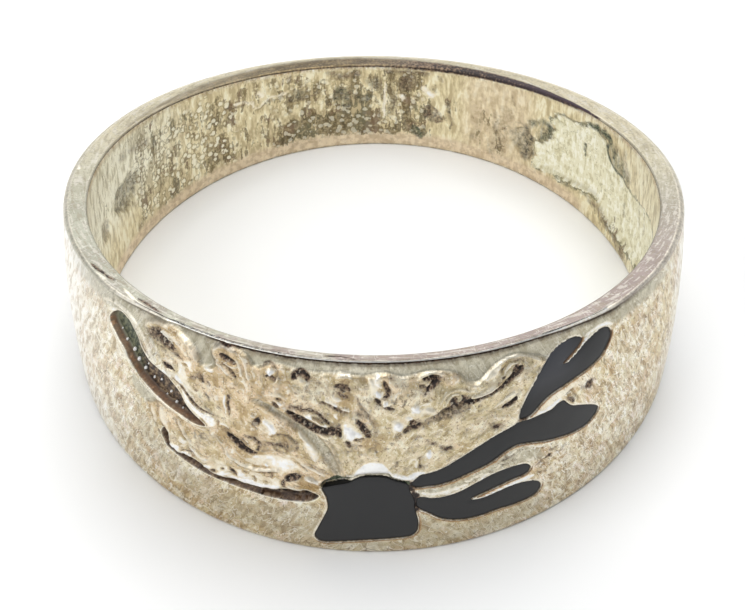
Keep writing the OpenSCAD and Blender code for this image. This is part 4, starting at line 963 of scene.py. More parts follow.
def carveInside(s, h):
    lift = np.zeros(s.shape)
    # wandering outlines
    sw = s + inside["wander"] * lumps(s, h, 0.40, 3, 3.3)
    hw = h + inside["wander"] * lumps(s, h, 0.40, 3, 7.9)
    paint = {k: np.zeros(s.shape) for k in tints + ("worn", "tarnish", "pink")}
    reach = inside["wornReach"]
    paint["worn"][:] = -reach
    i, d = nearOutline(wornLoop, s, h, reach)
    paint["worn"][i] = np.clip(d, -reach, reach)
    lift[i] += 0.12 * smooth(-0.05, 0.25, d)
    # tarnish hangs down in drips of different lengths
    sd = s + 0.45 * lumps(s, h, 0.8, 3, 2.2)
    hd = h + 0.55 * lumps(s * 3, h * 0.5, 0.9, 3, 5.5)
    for left, right, foot, head, amount in tarnished:
        share = amount * bandShape(sd, left - 0.25, left + 0.25, right - 0.25, right + 0.25)
        share *= bandShape(hd, foot - 0.2, foot + 0.2, head - 0.2, head + 0.2)
        paint["tarnish"] = np.maximum(paint["tarnish"], share)
    paint["speck"] = np.maximum(bandShape(s, 5.8, 6.6, 11.2, 12.2),
                                0.55 * bandShape(s, -2.0, -1.2, 4.4, 5.0))
    paint["patina"] = np.maximum(bandShape(s, 7.5, 11.5, 18, 26) * smooth(-1.6, 0.8, h),
                                 bandShape(-s, 10.5, 13.0, 18, 26) * 0.5)
    paint["patina"] = blend(paint["patina"], 0.6, smooth(16, 21, np.abs(s)))
    paint["clean"] = smooth(15, 19, np.abs(s))
    low = lowRim(-ring["holeRadius"] * np.cos(s / ring["holeRadius"] + pi))
    strip = smooth(0.75, 0.4, h - low) * smooth(-9.2, -8.0, s) * smooth(26, 18, s)
    paint["pink"] = np.maximum(strip, 0.6 * bandShape(s, -6.5, -5.5, -3.6, -2.6))
    paint["tarnish"] *= 1 - strip
    for depth, tone, hue, soft, points in hollows:
        loop = spline(points, True, 4)
        i = near(loop, s, h, soft + 0.2)
        d = outlineDistance(loop, sw[i], hw[i])[0]
        lift[i] += depth * smooth(-0.5 * soft, 1.2 * soft, d)
        tint(paint, i, smooth(-0.3 * soft, 0.7 * soft, d), tone=tone, green=hue, worn=-reach)
    for depth, tone, hue, half, points in stains:
        line = spline(points)
        i = near(line, s, h, 2 * half + 0.2)
        d = lineDistance(line, blend(s[i], sw[i], 0.5), blend(h[i], hw[i], 0.5))[0]
        t = np.clip(d / (1.6 * half), 0, 1)
        lift[i] += depth * (1 - t * t) ** 2
        tint(paint, i, 1 - t * t, tone=tone, green=hue)
    return lift, paint


def layInside():
    # from the flat top of the upper rim, down the hole, to the flat of the lower rim
    reach = inside["reach"]
    fine = np.arange(-reach, reach + 0.01, inside["step"]) / ring["holeRadius"] + pi
    rest = np.linspace(fine[-1], fine[0] + 2 * pi, inside["frontColumns"] + 2)[1:-1]
    phi = np.concatenate([fine, rest])
    outer, inner = bevels(phi)
    s = backLength(phi)
    hole = holeAt(phi)
    y = -ring["wallRadius"] * np.cos(phi)
    lay = np.arctan2(np.sin(phi), np.cos(phi)) * ring["layRadius"]
    head = topRim(y) - outer
    top = wallAt(phi, head) - slope(lay, head) - outer
    roll = inner * inside["roll"]
    rows = []  # radius, height, place across the rim
    for k in range(1, inside["rimRows"] + 1):
        share = k / (inside["rimRows"] + 0.5)
        r = top + (hole + inner - top) * share
        rows.append((r, topRim(-r * np.cos(phi)), 0.12 + 0.48 * share))
    for k in range(5):
        a = k / 5 * pi / 2
        r = hole + inner * (1 - sin(a))
        drop = roll * (1 - cos(a))
        rows.append((r, topRim(-r * np.cos(phi)) - drop, 0.62 + 0.08 * k))
    yIn = -hole * np.cos(phi)
    high, low = topRim(yIn) - roll, lowRim(yIn) + inside["lowEdge"]
    count = inside["rows"]
    rimRows = len(rows)
    for k in range(count):
        rows.append((hole, high + (low - high) * k / (count - 1), inside["beyondRim"]))
    rows.append((hole + 0.03, lowRim(yIn) + 0.03, inside["beyondRim"]))
    for k in (0.1, 0.35):
        r = hole + k
        rows.append((r, lowRim(-r * np.cos(phi)), inside["beyondRim"]))
    made = {k: np.stack([np.broadcast_to(row[j], phi.shape) for row in rows], 1)
            for j, k in enumerate(("r", "h", "across"))}
    made["phi"] = np.repeat(phi[:, None], len(rows), 1)
    s2 = np.repeat(s[:, None], len(rows), 1)
    lift, paint = carveInside(s2.ravel(), made["h"].ravel())
    onWall = np.zeros(len(rows))
    onWall[rimRows:rimRows + count] = 1
    onWall[rimRows:rimRows + 2] = (0.0, 0.5)
    made["r"] = made["r"] + lift.reshape(s2.shape) * onWall
    for key, v in paint.items():
        made[key] = v.reshape(s2.shape) * onWall
    made["inside"] = np.repeat(onWall[None, :], len(phi), 0)
    made["cut"] = np.full(s2.shape, -band["cutReach"])
    made["rise"] = np.full(s2.shape, 1.0)
    made["u"] = (made["phi"] - pi) * ring["holeRadius"]
    rim = made["across"] < inside["rimEnd"]
    made["v"] = made["h"] - 0.8 * made["across"] * rim
    made["turn"] = 2 * pi * ring["holeRadius"]
    # tints of the rim itself
    made["rim"] = np.where(rim, 1.0, 0.0)
    made["tone"] -= 0.6 * (np.abs(made["across"] - 0.94) < 0.01)
    # painted highlight: the same pale line along the rim's outer edge in front
    made["tone"][:, 0] += 0.8 * smooth(-6.6, -5.6, lay) * smooth(8.9, 8.3, lay)
    lays = np.repeat(lay[:, None], len(rows), 1)
    for amount, wide, points in rimMarks:
        d = lineDistance(np.array(points), lays, made["r"])[0]
        made["tone"] += amount * smooth(1.5 * wide, 0.3 * wide, d) * rim
    place, half, tone, hue, olive = (
        np.interp(s2, rimStain[:, 0], rimStain[:, j], 0, 0) for j in (1, 2, 3, 4, 5))
    half = np.maximum(half, 0.02)
    stain = smooth(1.25, 0.75, np.abs(made["across"] - place) / half) * rim
    made["tarnish"] += stain * olive
    below = made["h"][:, rimRows][:, None] - made["h"]
    ragged = 0.06 + 0.03 * np.sin(5.3 * s2) + 0.02 * np.sin(13.7 * s2 + 1)
    seep = smooth(ragged, 0.3 * ragged, below) * (~rim)
    stain = np.maximum(stain, seep * smooth(-9.4, -7.0, s2) * smooth(9.0, 0.0, s2))
    made["tone"] += stain * tone
    made["green"] += stain * hue
    return made


def paintWith(obj, values):
    for name, v in values.items():
        a = obj.data.attributes.new(name, "FLOAT", "POINT")
        a.data.foreach_set("value", v.astype(np.float32).ravel())


def only(obj):
    bpy.ops.object.select_all(action="DESELECT")
    obj.select_set(True)
    bpy.context.view_layer.objects.active = obj


def editMesh(*steps):
    # each step works on the whole of the active piece
    bpy.ops.object.mode_set(mode="EDIT")
    for step in steps:
        bpy.ops.mesh.select_all(action="SELECT")
        step()
    bpy.ops.object.mode_set(mode="OBJECT")


def faceOut():
    bpy.ops.mesh.normals_make_consistent(inside=False)


def rolledGrid(name, made, firstEdge):
    # a flat grid rolled up into a closed band, with its tints
    columns, rows = made["r"].shape
    bpy.ops.object.select_all(action="DESELECT")
    bpy.ops.mesh.primitive_grid_add(x_subdivisions=rows - 1, y_subdivisions=columns, size=2)
    piece = bpy.context.object
    piece.name = piece.data.name = name
    turn = made.pop("turn")
    wrap = {k: np.vstack([v, v[:1]]) for k, v in made.items()}
    wrap["u"][-1] += turn
    x, y = wrap["r"] * np.sin(wrap["phi"]), -wrap["r"] * np.cos(wrap["phi"])
    piece.data.vertices.foreach_set("co", toWorld(x, y, wrap["h"]).astype(np.float32).ravel())
    blank = np.zeros(x.shape)
    openEdge = blank.copy()
    openEdge[:, 0] = firstEdge
    openEdge[:, -1] = firstEdge + 1
    corners = np.zeros(len(piece.data.loops), np.int32)
    piece.data.loops.foreach_get("vertex_index", corners)
    uv = np.stack([wrap["u"].ravel(), wrap["v"].ravel()], 1)[corners] * mm
    piece.data.uv_layers[0].data.foreach_set("uv", uv.astype(np.float32).ravel())
    keys = tints + ("worn", "tarnish", "pink", "inside", "rim", "fanTurn", "fanReach")
    paintWith(piece, {k: wrap.get(k, blank) for k in keys} | {"openEdge": openEdge})
    return piece


def stitch(piece, pairs):
    # closes the gaps between open edges with different numbers of points, by angle
    net = bmesh.new()
    net.from_mesh(piece.data)
    edge = net.verts.layers.float["openEdge"]
    uv = net.loops.layers.uv[0]
    loops = {}
    for v in net.verts:
        if v[edge] > 0.5:
            loops.setdefault(round(v[edge]), []).append((atan2(v.co.y, v.co.x), v))
    for first, second in pairs:
        a, b = (sorted(loops[k], key=lambda pair: pair[0]) for k in (first, second))
        a.append((a[0][0] + 2 * pi, a[0][1]))
        b.append((b[0][0] + 2 * pi, b[0][1]))
        i = j = 0
        while i < len(a) - 1 or j < len(b) - 1:
            if j == len(b) - 1 or (i < len(a) - 1 and a[i + 1][0] < b[j + 1][0]):
                corners = a[i][1], a[i + 1][1], b[j][1]
                i += 1
            else:
                corners = a[i][1], b[j + 1][1], b[j][1]
                j += 1
            # the grain runs on from the face next to it
            known = next(x for x in b[min(j, len(b) - 2)][1].link_loops)
            face = net.faces.new(corners)
            for loop in face.loops:
                loop[uv].uv = known[uv].uv + (loop.vert.co - known.vert.co).xy
    net.to_mesh(piece.data)
    net.free()


# small lumps left on the floor of the long channel, painted white as glints: place where the camera sees
# them, size
beads = [
    (-7.82, 2.22, 0.045), (-7.46, 2.05, 0.060), (-7.27, 1.78, 0.062), (-6.98, 1.60, 0.055),
    (-6.60, 1.45, 0.042), (-6.30, 1.52, 0.035), (-5.92, 1.25, 0.042), (-5.73, 0.93, 0.045),
    (-5.50, 0.80, 0.032), (-8.06, 2.50, 0.028), (-6.84, 1.84, 0.028), (-6.1, 1.05, 0.026),
]
beadRise = 0.045  # how far their middles stand over the floor
beadDrop = 0.96  # how far down a sunk bead seems to move, for each millimetre of depth


def addBeads(piece):
    # each lies on the floor, so the camera sees it further out than it is
    sunk = band["leafDepth"] - beadRise
    made = [piece]
    for seenS, seenH, size in beads:
        turn = seenS / ring["layRadius"]
        phi = turn + tan(turn) * sunk / ring["layRadius"]
        h = seenH - beadDrop * sunk / cos(turn)
        r = wallAt(phi, h) - sunk
        place = Vector(toWorld(r * sin(phi), -r * cos(phi), h))
        bpy.ops.mesh.primitive_ico_sphere_add(subdivisions=2, radius=size * mm, location=place)
        bead = bpy.context.object
        bead.scale = (1, 1, 1.5)
        bead.rotation_euler = (0, 0.5, 0)
        bpy.ops.object.transform_apply(location=True, rotation=True, scale=True)
        made.append(bead)
        full = np.ones(len(bead.data.vertices))
        # tone 1 paints each bead white, a painted glint
        paintWith(bead, {"tone": full, "rise": full, "cut": -band["cutReach"] * full})
    only(piece)
    for bead in made:
        bead.select_set(True)
    bpy.ops.object.join()


def makeBand():
    wall, hole = layWall(), layInside()
    print("band laid out:", wall["r"].shape, hole["r"].shape)
    wallPiece = rolledGrid("band_metal", wall, 1)
    holePiece = rolledGrid("band_inside", hole, 3)
    only(wallPiece)
    holePiece.select_set(True)
    bpy.ops.object.join()
    piece = bpy.context.object
    editMesh(lambda: bpy.ops.mesh.remove_doubles(threshold=1e-6))
    stitch(piece, ((2, 3), (4, 1)))
    addBeads(piece)
    editMesh(faceOut, lambda: bpy.ops.mesh.quads_convert_to_tris(quad_method="SHORTEST_DIAGONAL",
                                                                 ngon_method="BEAUTY"))
    bpy.ops.object.shade_smooth()
    print("band:", len(piece.data.vertices), "points,", len(piece.data.polygons), "faces")
    return piece


bandPiece = makeBand()


# the inlay
inlay = {
    "gap": 0.002, "drop": 0.012, "foot": 0.33, "round": 0.012, "voxel": 0.025,
    "dish": 0.012, "dishWidth": 0.12,  # the enamel draws down a little along its edge
    "dishFoot": -0.2,  # points lower than this keep their height
}


def applyModifier(piece, name, kind, **settings):
    modifier = piece.modifiers.new(name, kind)
    for key, value in settings.items():
        setattr(modifier, key, value)
    bpy.ops.object.modifier_apply(modifier=name)


def makeInlay(name, loop):
    line = grown(loop, -inlay["gap"])
    bpy.ops.object.select_all(action="DESELECT")
    bpy.ops.mesh.primitive_circle_add(vertices=len(line), radius=1, fill_type="NGON")
    piece = bpy.context.object
    piece.name = piece.data.name = name + "_enamel"
    flat = np.column_stack([line, np.full(len(line), -inlay["foot"])])
    piece.data.vertices.foreach_set("co", flat.ravel())
    piece.data.update()
    rise = {"value": (0, 0, inlay["foot"] - inlay["drop"])}
    editMesh(lambda: bpy.ops.mesh.extrude_region_move(TRANSFORM_OT_translate=rise), faceOut)
    applyModifier(piece, "round", "BEVEL", width=inlay["round"], segments=3,
                  limit_method="ANGLE", angle_limit=radians(50))
    applyModifier(piece, "even", "REMESH", mode="VOXEL", voxel_size=inlay["voxel"])
    applyModifier(piece, "ease", "SMOOTH", factor=0.5, iterations=2)
    me = piece.data
    co = np.zeros(len(me.vertices) * 3)
    me.vertices.foreach_get("co", co)
    s, sh, z = co.reshape(-1, 3).T
    h = sh.copy()
    for _ in range(3):
        h = sh - ring["leanSeen"] * slope(s, h)
    phi = s / ring["layRadius"]
    d = outlineDistance(loop, s, sh)[0]
    dish = inlay["dish"] * np.exp(-(d / inlay["dishWidth"]) ** 2) * (z > inlay["dishFoot"])
    r = wallAt(phi, h) - slope(s, h) + z - dish
    world = toWorld(r * np.sin(phi), -r * np.cos(phi), h)
    me.vertices.foreach_set("co", world.astype(np.float32).ravel())
    me.update()
    only(piece)
    editMesh(faceOut)
    bpy.ops.object.shade_smooth()
    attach(piece, "root")
    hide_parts(name)
    print(piece.name, len(me.vertices), "points")
    return piece


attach(bandPiece, "root")
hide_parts("band")
inlays = [makeInlay(name, loop) for name, loop in inlayLoops.items()]


# materials
class Value:
    # a socket of the node tree, on which Python's own signs build Math nodes
    def __init__(self, maker, socket):
        self.maker, self.socket = maker, socket

    def math(self, operation, a, b=0.0, clamp=False):
        settings = {"operation": operation, "use_clamp": clamp}
        return self.maker.node("ShaderNodeMath", settings, {0: a, 1: b})

    def __add__(self, other):
        return self.math("ADD", self, other)

    def __radd__(self, other):
        return self.math("ADD", other, self)

    def __sub__(self, other):
        return self.math("SUBTRACT", self, other)

    def __rsub__(self, other):
        return self.math("SUBTRACT", other, self)

    def __mul__(self, other):
        return self.math("MULTIPLY", self, other)

    def __rmul__(self, other):
        return self.math("MULTIPLY", other, self)

    def above(self, low, high):
        # 0 up to low, 1 from high
        settings = {"interpolation_type": "SMOOTHSTEP"}
        values = {0: self, 1: low, 2: high, 3: 0.0, 4: 1.0}
        return self.maker.node("ShaderNodeMapRange", settings, values)

    def line(self, at, half):
        # 1 where the value passes at, 0 from half away
        return self.math("ABSOLUTE", self - at).above(half, 0.3 * half)

    def grey(self):
        return self.maker.node("ShaderNodeRGBToBW", {}, {0: self})

    def held(self):
        return self.math("ADD", self, 0.0, True)


class Finish:
    def __init__(self, name):
        self.material = bpy.data.materials.new(name)
        self.material.use_nodes = True
        self.tree = self.material.node_tree
        self.shader = self.tree.nodes["Principled BSDF"]

    def node(self, kind, settings, values, out=0):
        made = self.tree.nodes.new(kind)
        for k, v in settings.items():
            setattr(made, k, v)
        for k, v in values.items():
            self.feed(made.inputs[k], v)
        return Value(self, made.outputs[out])

    def feed(self, socket, v):
        if isinstance(v, Value):
            self.tree.links.new(v.socket, socket)
        else:
            socket.default_value = v

    def mix(self, share, a, b):
        # colours sit on sockets 6 and 7 of a Mix node, and come out of socket 2
        return self.node("ShaderNodeMix", {"data_type": "RGBA"}, {0: share, 6: a, 7: b}, 2)

    def layers(self, under, steps):
        # plain colours laid over one another, each with its own share
        for share, shade in steps:
            under = self.mix(share, under, colour(*shade))
        return under

    def wash(self, share, under, shade):
        # a colour that darkens what is under it
        values = {0: under, 1: colour(*shade)[:3]}
        darker = self.node("ShaderNodeVectorMath", {"operation": "MULTIPLY"}, values)
        return self.mix(share, under, darker)

    def place(self, axis):
        # place on the finished piece in millimetres
        spot = self.node("ShaderNodeTexCoord", {}, {}, 3)
        return self.node("ShaderNodeSeparateXYZ", {}, {0: spot}, axis) * (1 / mm)

    def raised(self, height, strength, distance):
        bump = {"Strength": strength, "Distance": distance * mm, "Height": height}
        self.feed(self.shader.inputs["Normal"], self.node("ShaderNodeBump", {}, bump))

    def ladder(self, value, soft, lowest, steps):
        # colours that take over one after another as the value rises
        out = colour(*lowest)
        for at, shade in steps:
            out = self.mix(value.above(at - soft, at + soft), out, colour(*shade))
        return out

    def painted(self, name):
        return self.node("ShaderNodeAttribute", {"attribute_name": name}, {}, 2)

    def grain(self, place, size, detail=3.0, rough=0.55, seed=0.0, warp=0.0):
        # noise whose lumps are about that many millimetres across
        scale = 1 / (size * mm)
        return self.node("ShaderNodeTexNoise", {"noise_dimensions": "4D"},
                         {"Vector": place, "W": seed, "Scale": scale, "Detail": detail,
                          "Roughness": rough, "Distortion": warp})


def colour(r, g, b):
    # screen values from 0 to 255 to Blender's own
    shares = [c / 255 for c in (r, g, b)]
    return tuple(((c + 0.055) / 1.055) ** 2.4 if c > 0.04 else c / 12.92 for c in shares) + (1.0,)


# sizes in mm; the bump's own values, and what roughness and metal start from
silver = {
    "grainSize": {"broad": 2.4, "patches": 0.75, "skin": 0.24, "fine": 0.085, "spots": 0.12},
    "beadSize": 0.27, "bumpStrength": 0.8, "bumpDepth": 0.05, "roughness": 0.33, "metallic": 0.85,
    # white is the colour of painted highlights, worn of the painted reflection on the far sides, lip of
    # the painted highlight round hollows
    "white": (254, 253, 250), "worn": (253, 251, 246), "lip": (252, 247, 230),
    "rosyRim": (163, 149, 143), "frontRim": (184, 183, 166), "backRim": (208, 198, 170),
}


def silverFinish():
    f = Finish("cast_silver")
    size = silver["grainSize"]
    place = f.node("ShaderNodeTexCoord", {}, {}, 3)
    flat = f.node("ShaderNodeTexCoord", {}, {}, 2)
    tone, patina, relief = f.painted("tone"), f.painted("patina"), f.painted("tan")
    speck, hue, clean = f.painted("speck"), f.painted("green"), f.painted("clean")
    grime, worn, tarnish = f.painted("grime"), f.painted("worn"), f.painted("tarnish")
    pink, hole, rim = f.painted("pink"), f.painted("inside"), f.painted("rim")
    strokeWay = f.node("ShaderNodeMapping", {}, {0: flat, 3: (1, 0.33, 1)})
    crossWay = f.node("ShaderNodeMapping", {}, {0: flat, 2: (0, 0, 0.6), 3: (1, 0.4, 1)})
    upright = f.node("ShaderNodeMapping", {}, {0: flat, 3: (1, 0.3, 1)})
    roundWay = f.node("ShaderNodeMapping", {}, {0: flat, 3: (0.14, 1, 1)})
    broad = f.grain(place, size["broad"], 3.0, 0.6, 1.0)
    patches = f.grain(place, size["patches"], 3.0, 0.6, 2.0)
    skin = f.grain(place, size["skin"], 3.0, 0.6, 3.0)
    fine = f.grain(place, size["fine"], 2.0, 0.6, 4.0)
    strokes = f.grain(strokeWay, 0.19, 1.0, 0.5, 5.0, 0.9)
    wisps = f.grain(strokeWay, 0.36, 2.0, 0.55, 6.0, 1.2)
    cross = f.grain(crossWay, 0.24, 1.0, 0.5, 7.0, 0.8)
    streaks = f.grain(upright, 0.17, 3.0, 0.6, 8.0)
    smears = f.grain(upright, 0.42, 3.0, 0.6, 9.0)
    melt = f.grain(place, 0.55, 2.0, 0.5, 10.0, 1.3)
    rings = f.grain(roundWay, 0.10, 2.0, 0.6, 11.0)
    spots = f.grain(place, size["spots"], 1.0, 0.5, 12.0)
    dots = f.node("ShaderNodeTexVoronoi", {},
                  {"Vector": flat, "Scale": 1 / (silver["beadSize"] * mm), "Randomness": 1.0})

    # tarnished silver: tan, cream and straw strokes, with thin dark and bright ones over them
    mottle = strokes * 0.42 + wisps * 0.33 + patches * 0.25
    base = f.ladder(mottle, 0.013, (180, 162, 130), [
        (0.435, (207, 192, 161)), (0.472, (227, 215, 188)),
        (0.505, (220, 210, 177)), (0.535, (240, 234, 216)), (0.575, (252, 250, 242))])
    base = f.layers(base, [
        (fine.line(0.47, 0.02) * 0.35, (168, 150, 118)),
        (fine.line(0.53, 0.02) * 0.35, (253, 250, 240))])
    base = f.wash(broad.above(0.46, 0.62) * 0.5, base, (250, 240, 212))
    base = f.wash(patches.above(0.50, 0.58) * 0.6, base, (238, 224, 216))
    base = f.wash(melt.above(0.53, 0.60) * 0.6, base, (236, 222, 204))
    base = f.layers(base, [
        (melt.above(0.44, 0.38) * 0.55, (251, 247, 232)),
        (cross.line(0.52, 0.016) * 0.8, (253, 250, 242))])
    scratched = patches.above(0.40, 0.52)
    base = f.layers(base, [
        (cross.line(0.465, 0.013) * scratched * 0.7, (128, 110, 84)),
        (wisps.line(0.49, 0.008) * scratched * 0.6, (136, 118, 92)),
        (melt.line(0.5, 0.006) * patches.above(0.48, 0.56) * 0.7, (132, 112, 86)),
        (fine.above(0.61, 0.64) * (0.1 + 0.6 * speck), (126, 108, 84))])

    # the relief: smooth straw and rosy shapes with thin dark and light lines round them
    fanWay = f.node("ShaderNodeCombineXYZ", {}, {0: f.painted("fanTurn"), 1: f.painted("fanReach") * 0.35})
    flow = f.grain(fanWay, 0.17, 2.0, 0.5, 13.0, 0.7)
    cast = f.ladder(melt * 0.35 + flow * 0.25 + patches * 0.4, 0.022, (192, 174, 136), [
        (0.45, (210, 195, 157)), (0.485, (221, 206, 171)),
        (0.525, (227, 211, 181)), (0.565, (241, 232, 204))])
    cast = f.wash(broad.above(0.44, 0.54) * 0.7, cast, (250, 236, 226))
    cast = f.layers(cast, [
        (melt.line(0.47, 0.006) * patches.above(0.44, 0.52) * 0.6, (126, 102, 78)),
        (melt.line(0.495, 0.010) * 0.45, (252, 248, 232)),
        (flow.line(0.43, 0.012) * patches.above(0.44, 0.54) * 0.5, (118, 94, 72)),
        (flow.line(0.58, 0.018) * 0.4, (254, 250, 238)),
        (fine.above(0.60, 0.63) * 0.6, (134, 110, 88)),
        (fine.above(0.39, 0.36) * 0.5, (252, 248, 236))])
    base = f.mix(relief, base, cast)
    dull = f.ladder(skin * 0.5 + fine * 0.3 + cross * 0.2, 0.02, (172, 166, 146), [
        (0.46, (192, 187, 167)), (0.53, (208, 203, 184))])
    dull = f.layers(dull, [
        (fine.above(0.61, 0.64) * (0.2 + 0.5 * speck), (116, 106, 88)),
        (cross.line(0.52, 0.012) * 0.7, (230, 227, 214)),
        (cross.line(0.46, 0.008) * 0.5, (146, 138, 116))])
    base = f.mix(patina * 0.9, base, dull)
    # painted shade towards the foot, with grime, and a painted reflection, near white and broken by
    # strokes, on the far sides
    base = f.wash(grime, base, (216, 206, 186))
    scuffed = 0.42 + 0.46 * (strokes * 0.6 + wisps * 0.4).above(0.45, 0.52)
    base = f.mix(clean * scuffed, base, colour(*silver["worn"]))

    # inside the hole
    lining = f.ladder(streaks * 0.5 + wisps * 0.5, 0.014, (196, 180, 144), [
        (0.45, (217, 203, 165)), (0.50, (232, 220, 184)), (0.55, (244, 237, 210))])
    cool = f.ladder(streaks * 0.5 + wisps * 0.5, 0.014, (206, 199, 174), [
        (0.455, (230, 225, 202)), (0.505, (248, 245, 226))])
    cool = f.mix(cross.line(0.47, 0.012) * 0.6, cool, colour(140, 132, 108))
    lining = f.mix(patina, lining, cool)
    blush = f.mix(skin.above(0.42, 0.58), colour(206, 184, 156), colour(236, 218, 192))
    lining = f.mix(pink * 0.8, lining, blush)
    edge = worn + (skin - 0.5) * 0.6
    rind = edge.above(-0.16, -0.04) * edge.above(0.05, 0.0) * patches.above(0.42, 0.5)
    lining = f.mix(rind * 0.75, lining, colour(104, 104, 80))
    bare = f.ladder(streaks * 0.3 + strokes * 0.3 + skin * 0.4, 0.014, (214, 207, 174), [
        (0.45, (235, 231, 205)), (0.53, (248, 246, 230))])
    bare = f.mix(skin.line(0.44, 0.012) * patches.above(0.46, 0.54) * 0.7, bare, colour(150, 144, 110))
    lining = f.mix(edge.above(-0.03, 0.04), lining, bare)
    rust = f.ladder(streaks * 0.6 + spots * 0.4, 0.02, (62, 50, 34), [
        (0.46, (92, 76, 50)), (0.52, (126, 110, 78))])
    rust = f.layers(rust, [
        (patches.above(0.54, 0.60) * 0.6, (118, 86, 70)),
        (broad.above(0.52, 0.60) * 0.6, (92, 96, 78)),
        (spots.above(0.54, 0.62) * 0.55, (176, 162, 126))])
    dirt = smears * 0.35 + streaks * 0.35 + spots * 0.15 + patches * 0.15 + (tarnish - 1.0) * 0.075
    lining = f.mix(dirt.above(0.455, 0.50) * tarnish.above(0.0, 0.2) * 0.85, lining, rust)
    # lumps: beads of metal with a painted glint on each and a painted shadow ring round it
    bead = dots + (skin - 0.5) * 1.2
    dotted = speck * tarnish.above(0.05, 0.3)
    dirty = bead.above(0.34, 0.44) * bead.above(0.60, 0.52)
    lining = f.mix(dirty * dotted * 0.55, lining, colour(128, 116, 86))
    glint = bead.above(0.36, 0.26) * dotted
    lining = f.layers(lining, [
        (glint * 0.9, (246, 241, 220)),
        (clean * 0.7, (226, 217, 190))])
    base = f.mix(hole, base, lining)

    # the rim: worn satin, rosy in front and straw behind, with fine streaks that run round it
    side, depth = f.place(0), f.place(1)
    rosy = (side + (patches - 0.5) * 30.0).above(-9.0, 3.0) * depth.above(3.0, -5.0)
    satin = f.mix(depth.above(-4.0, 6.0), colour(*silver["frontRim"]), colour(*silver["backRim"]))
    satin = f.mix(rosy, satin, colour(*silver["rosyRim"]))
    satin = f.wash(patches.above(0.46, 0.54) * 0.5, satin, (232, 232, 230))
    satin = f.layers(satin, [
        (rings.above(0.53, 0.58) * 0.6, (214, 208, 196)),
        (rings.above(0.45, 0.41) * 0.45, (158, 146, 126)),
        (fine.above(0.56, 0.61) * 0.5, (150, 141, 124)),
        (cross.line(0.5, 0.012) * 0.5, (224, 220, 210))])
    olive = f.ladder(rings * 0.5 + fine * 0.5, 0.02, (84, 70, 44), [
        (0.48, (108, 92, 60)), (0.54, (140, 122, 86))])
    satin = f.mix(tarnish.held() * 0.9, satin, olive)
    base = f.mix(rim, base, satin)

    # marks, broken up and flecked with painted glints; high tones turn into painted highlights
    rough = f.mix(hole, fine * 0.6 + skin * 0.4, skin * 0.7 + fine * 0.3).grey() - 0.5
    ragged = tone + rough * 2.8 * tone.math("ABSOLUTE", tone)
    deep = (0.0 - ragged).above(0.08, 0.85)
    shade = f.ladder(spots * 0.5 + fine * 0.5, 0.02, (70, 56, 46), [
        (0.47, (102, 82, 66)), (0.53, (136, 112, 90))])
    shade = f.mix((0.0 - ragged).above(0.7, 1.2), shade, colour(40, 30, 25))
    verdigris = f.mix(fine.above(0.4, 0.6), colour(46, 56, 46), colour(104, 114, 88))
    shade = f.mix(hue.above(0.0, 1.0), shade, verdigris)
    shade = f.mix((0.0 - hue).above(0.0, 1.0), shade, colour(66, 52, 60))
    base = f.mix(deep, base, shade)
    base = f.layers(base, [
        (spots.above(0.60, 0.64) * deep * relief * 0.45, (226, 214, 190)),
        (ragged.above(0.08, 0.5) * 0.8, (249, 241, 222))])
    # tones over 0.45 become painted white highlights
    light = ragged.above(0.45, 0.9)
    base = f.mix(light, base, colour(*silver["white"]))
    rise, seam = f.painted("rise"), f.painted("seam")
    wander = (wisps - 0.5) * 0.22
    # below the rim's edge in front: painted brown shade under the groove, and a painted shadow line in the
    # groove
    stain = (rise + wander * 2.0).above(0.34, 0.12) * rise.above(0.06, 0.10) * seam
    brown = f.mix(spots.above(0.45, 0.55), colour(104, 84, 66), colour(146, 128, 102))
    base = f.mix(stain * 0.55, base, brown)
    groove = (rise + wander * 0.4).line(0.098, 0.055) * seam
    black = f.mix(fine.above(0.5, 0.6), colour(44, 33, 28), colour(88, 68, 54))
    base = f.mix(groove, base, black)
    cut, flank = f.painted("cut"), f.painted("flank")
    core = f.ladder(spots * 0.4 + fine * 0.3 + streaks * 0.3, 0.02, (44, 34, 28), [
        (0.46, (72, 56, 44)), (0.51, (104, 84, 64)), (0.56, (146, 126, 98))])
    moss = f.ladder(fine * 0.5 + streaks * 0.5, 0.02, (56, 64, 50), [
        (0.47, (84, 90, 70)), (0.53, (122, 124, 98))])
    core = f.mix(hue.above(0.0, 1.0), core, f.mix(cut.above(0.20, 0.04), moss, colour(158, 158, 134)))
    fall = f.ladder(cut + (spots - 0.5) * 0.10, 0.012, (192, 152, 114), [
        (0.014, (140, 102, 70)), (0.040, (104, 78, 58)), (0.075, (74, 57, 44))])
    core = f.mix(flank * cut.above(0.13, 0.05) * 0.85, core, fall)
    sunk = cut.above(-0.008, 0.012)
    base = f.mix(sunk * (1.0 - light), base, core)
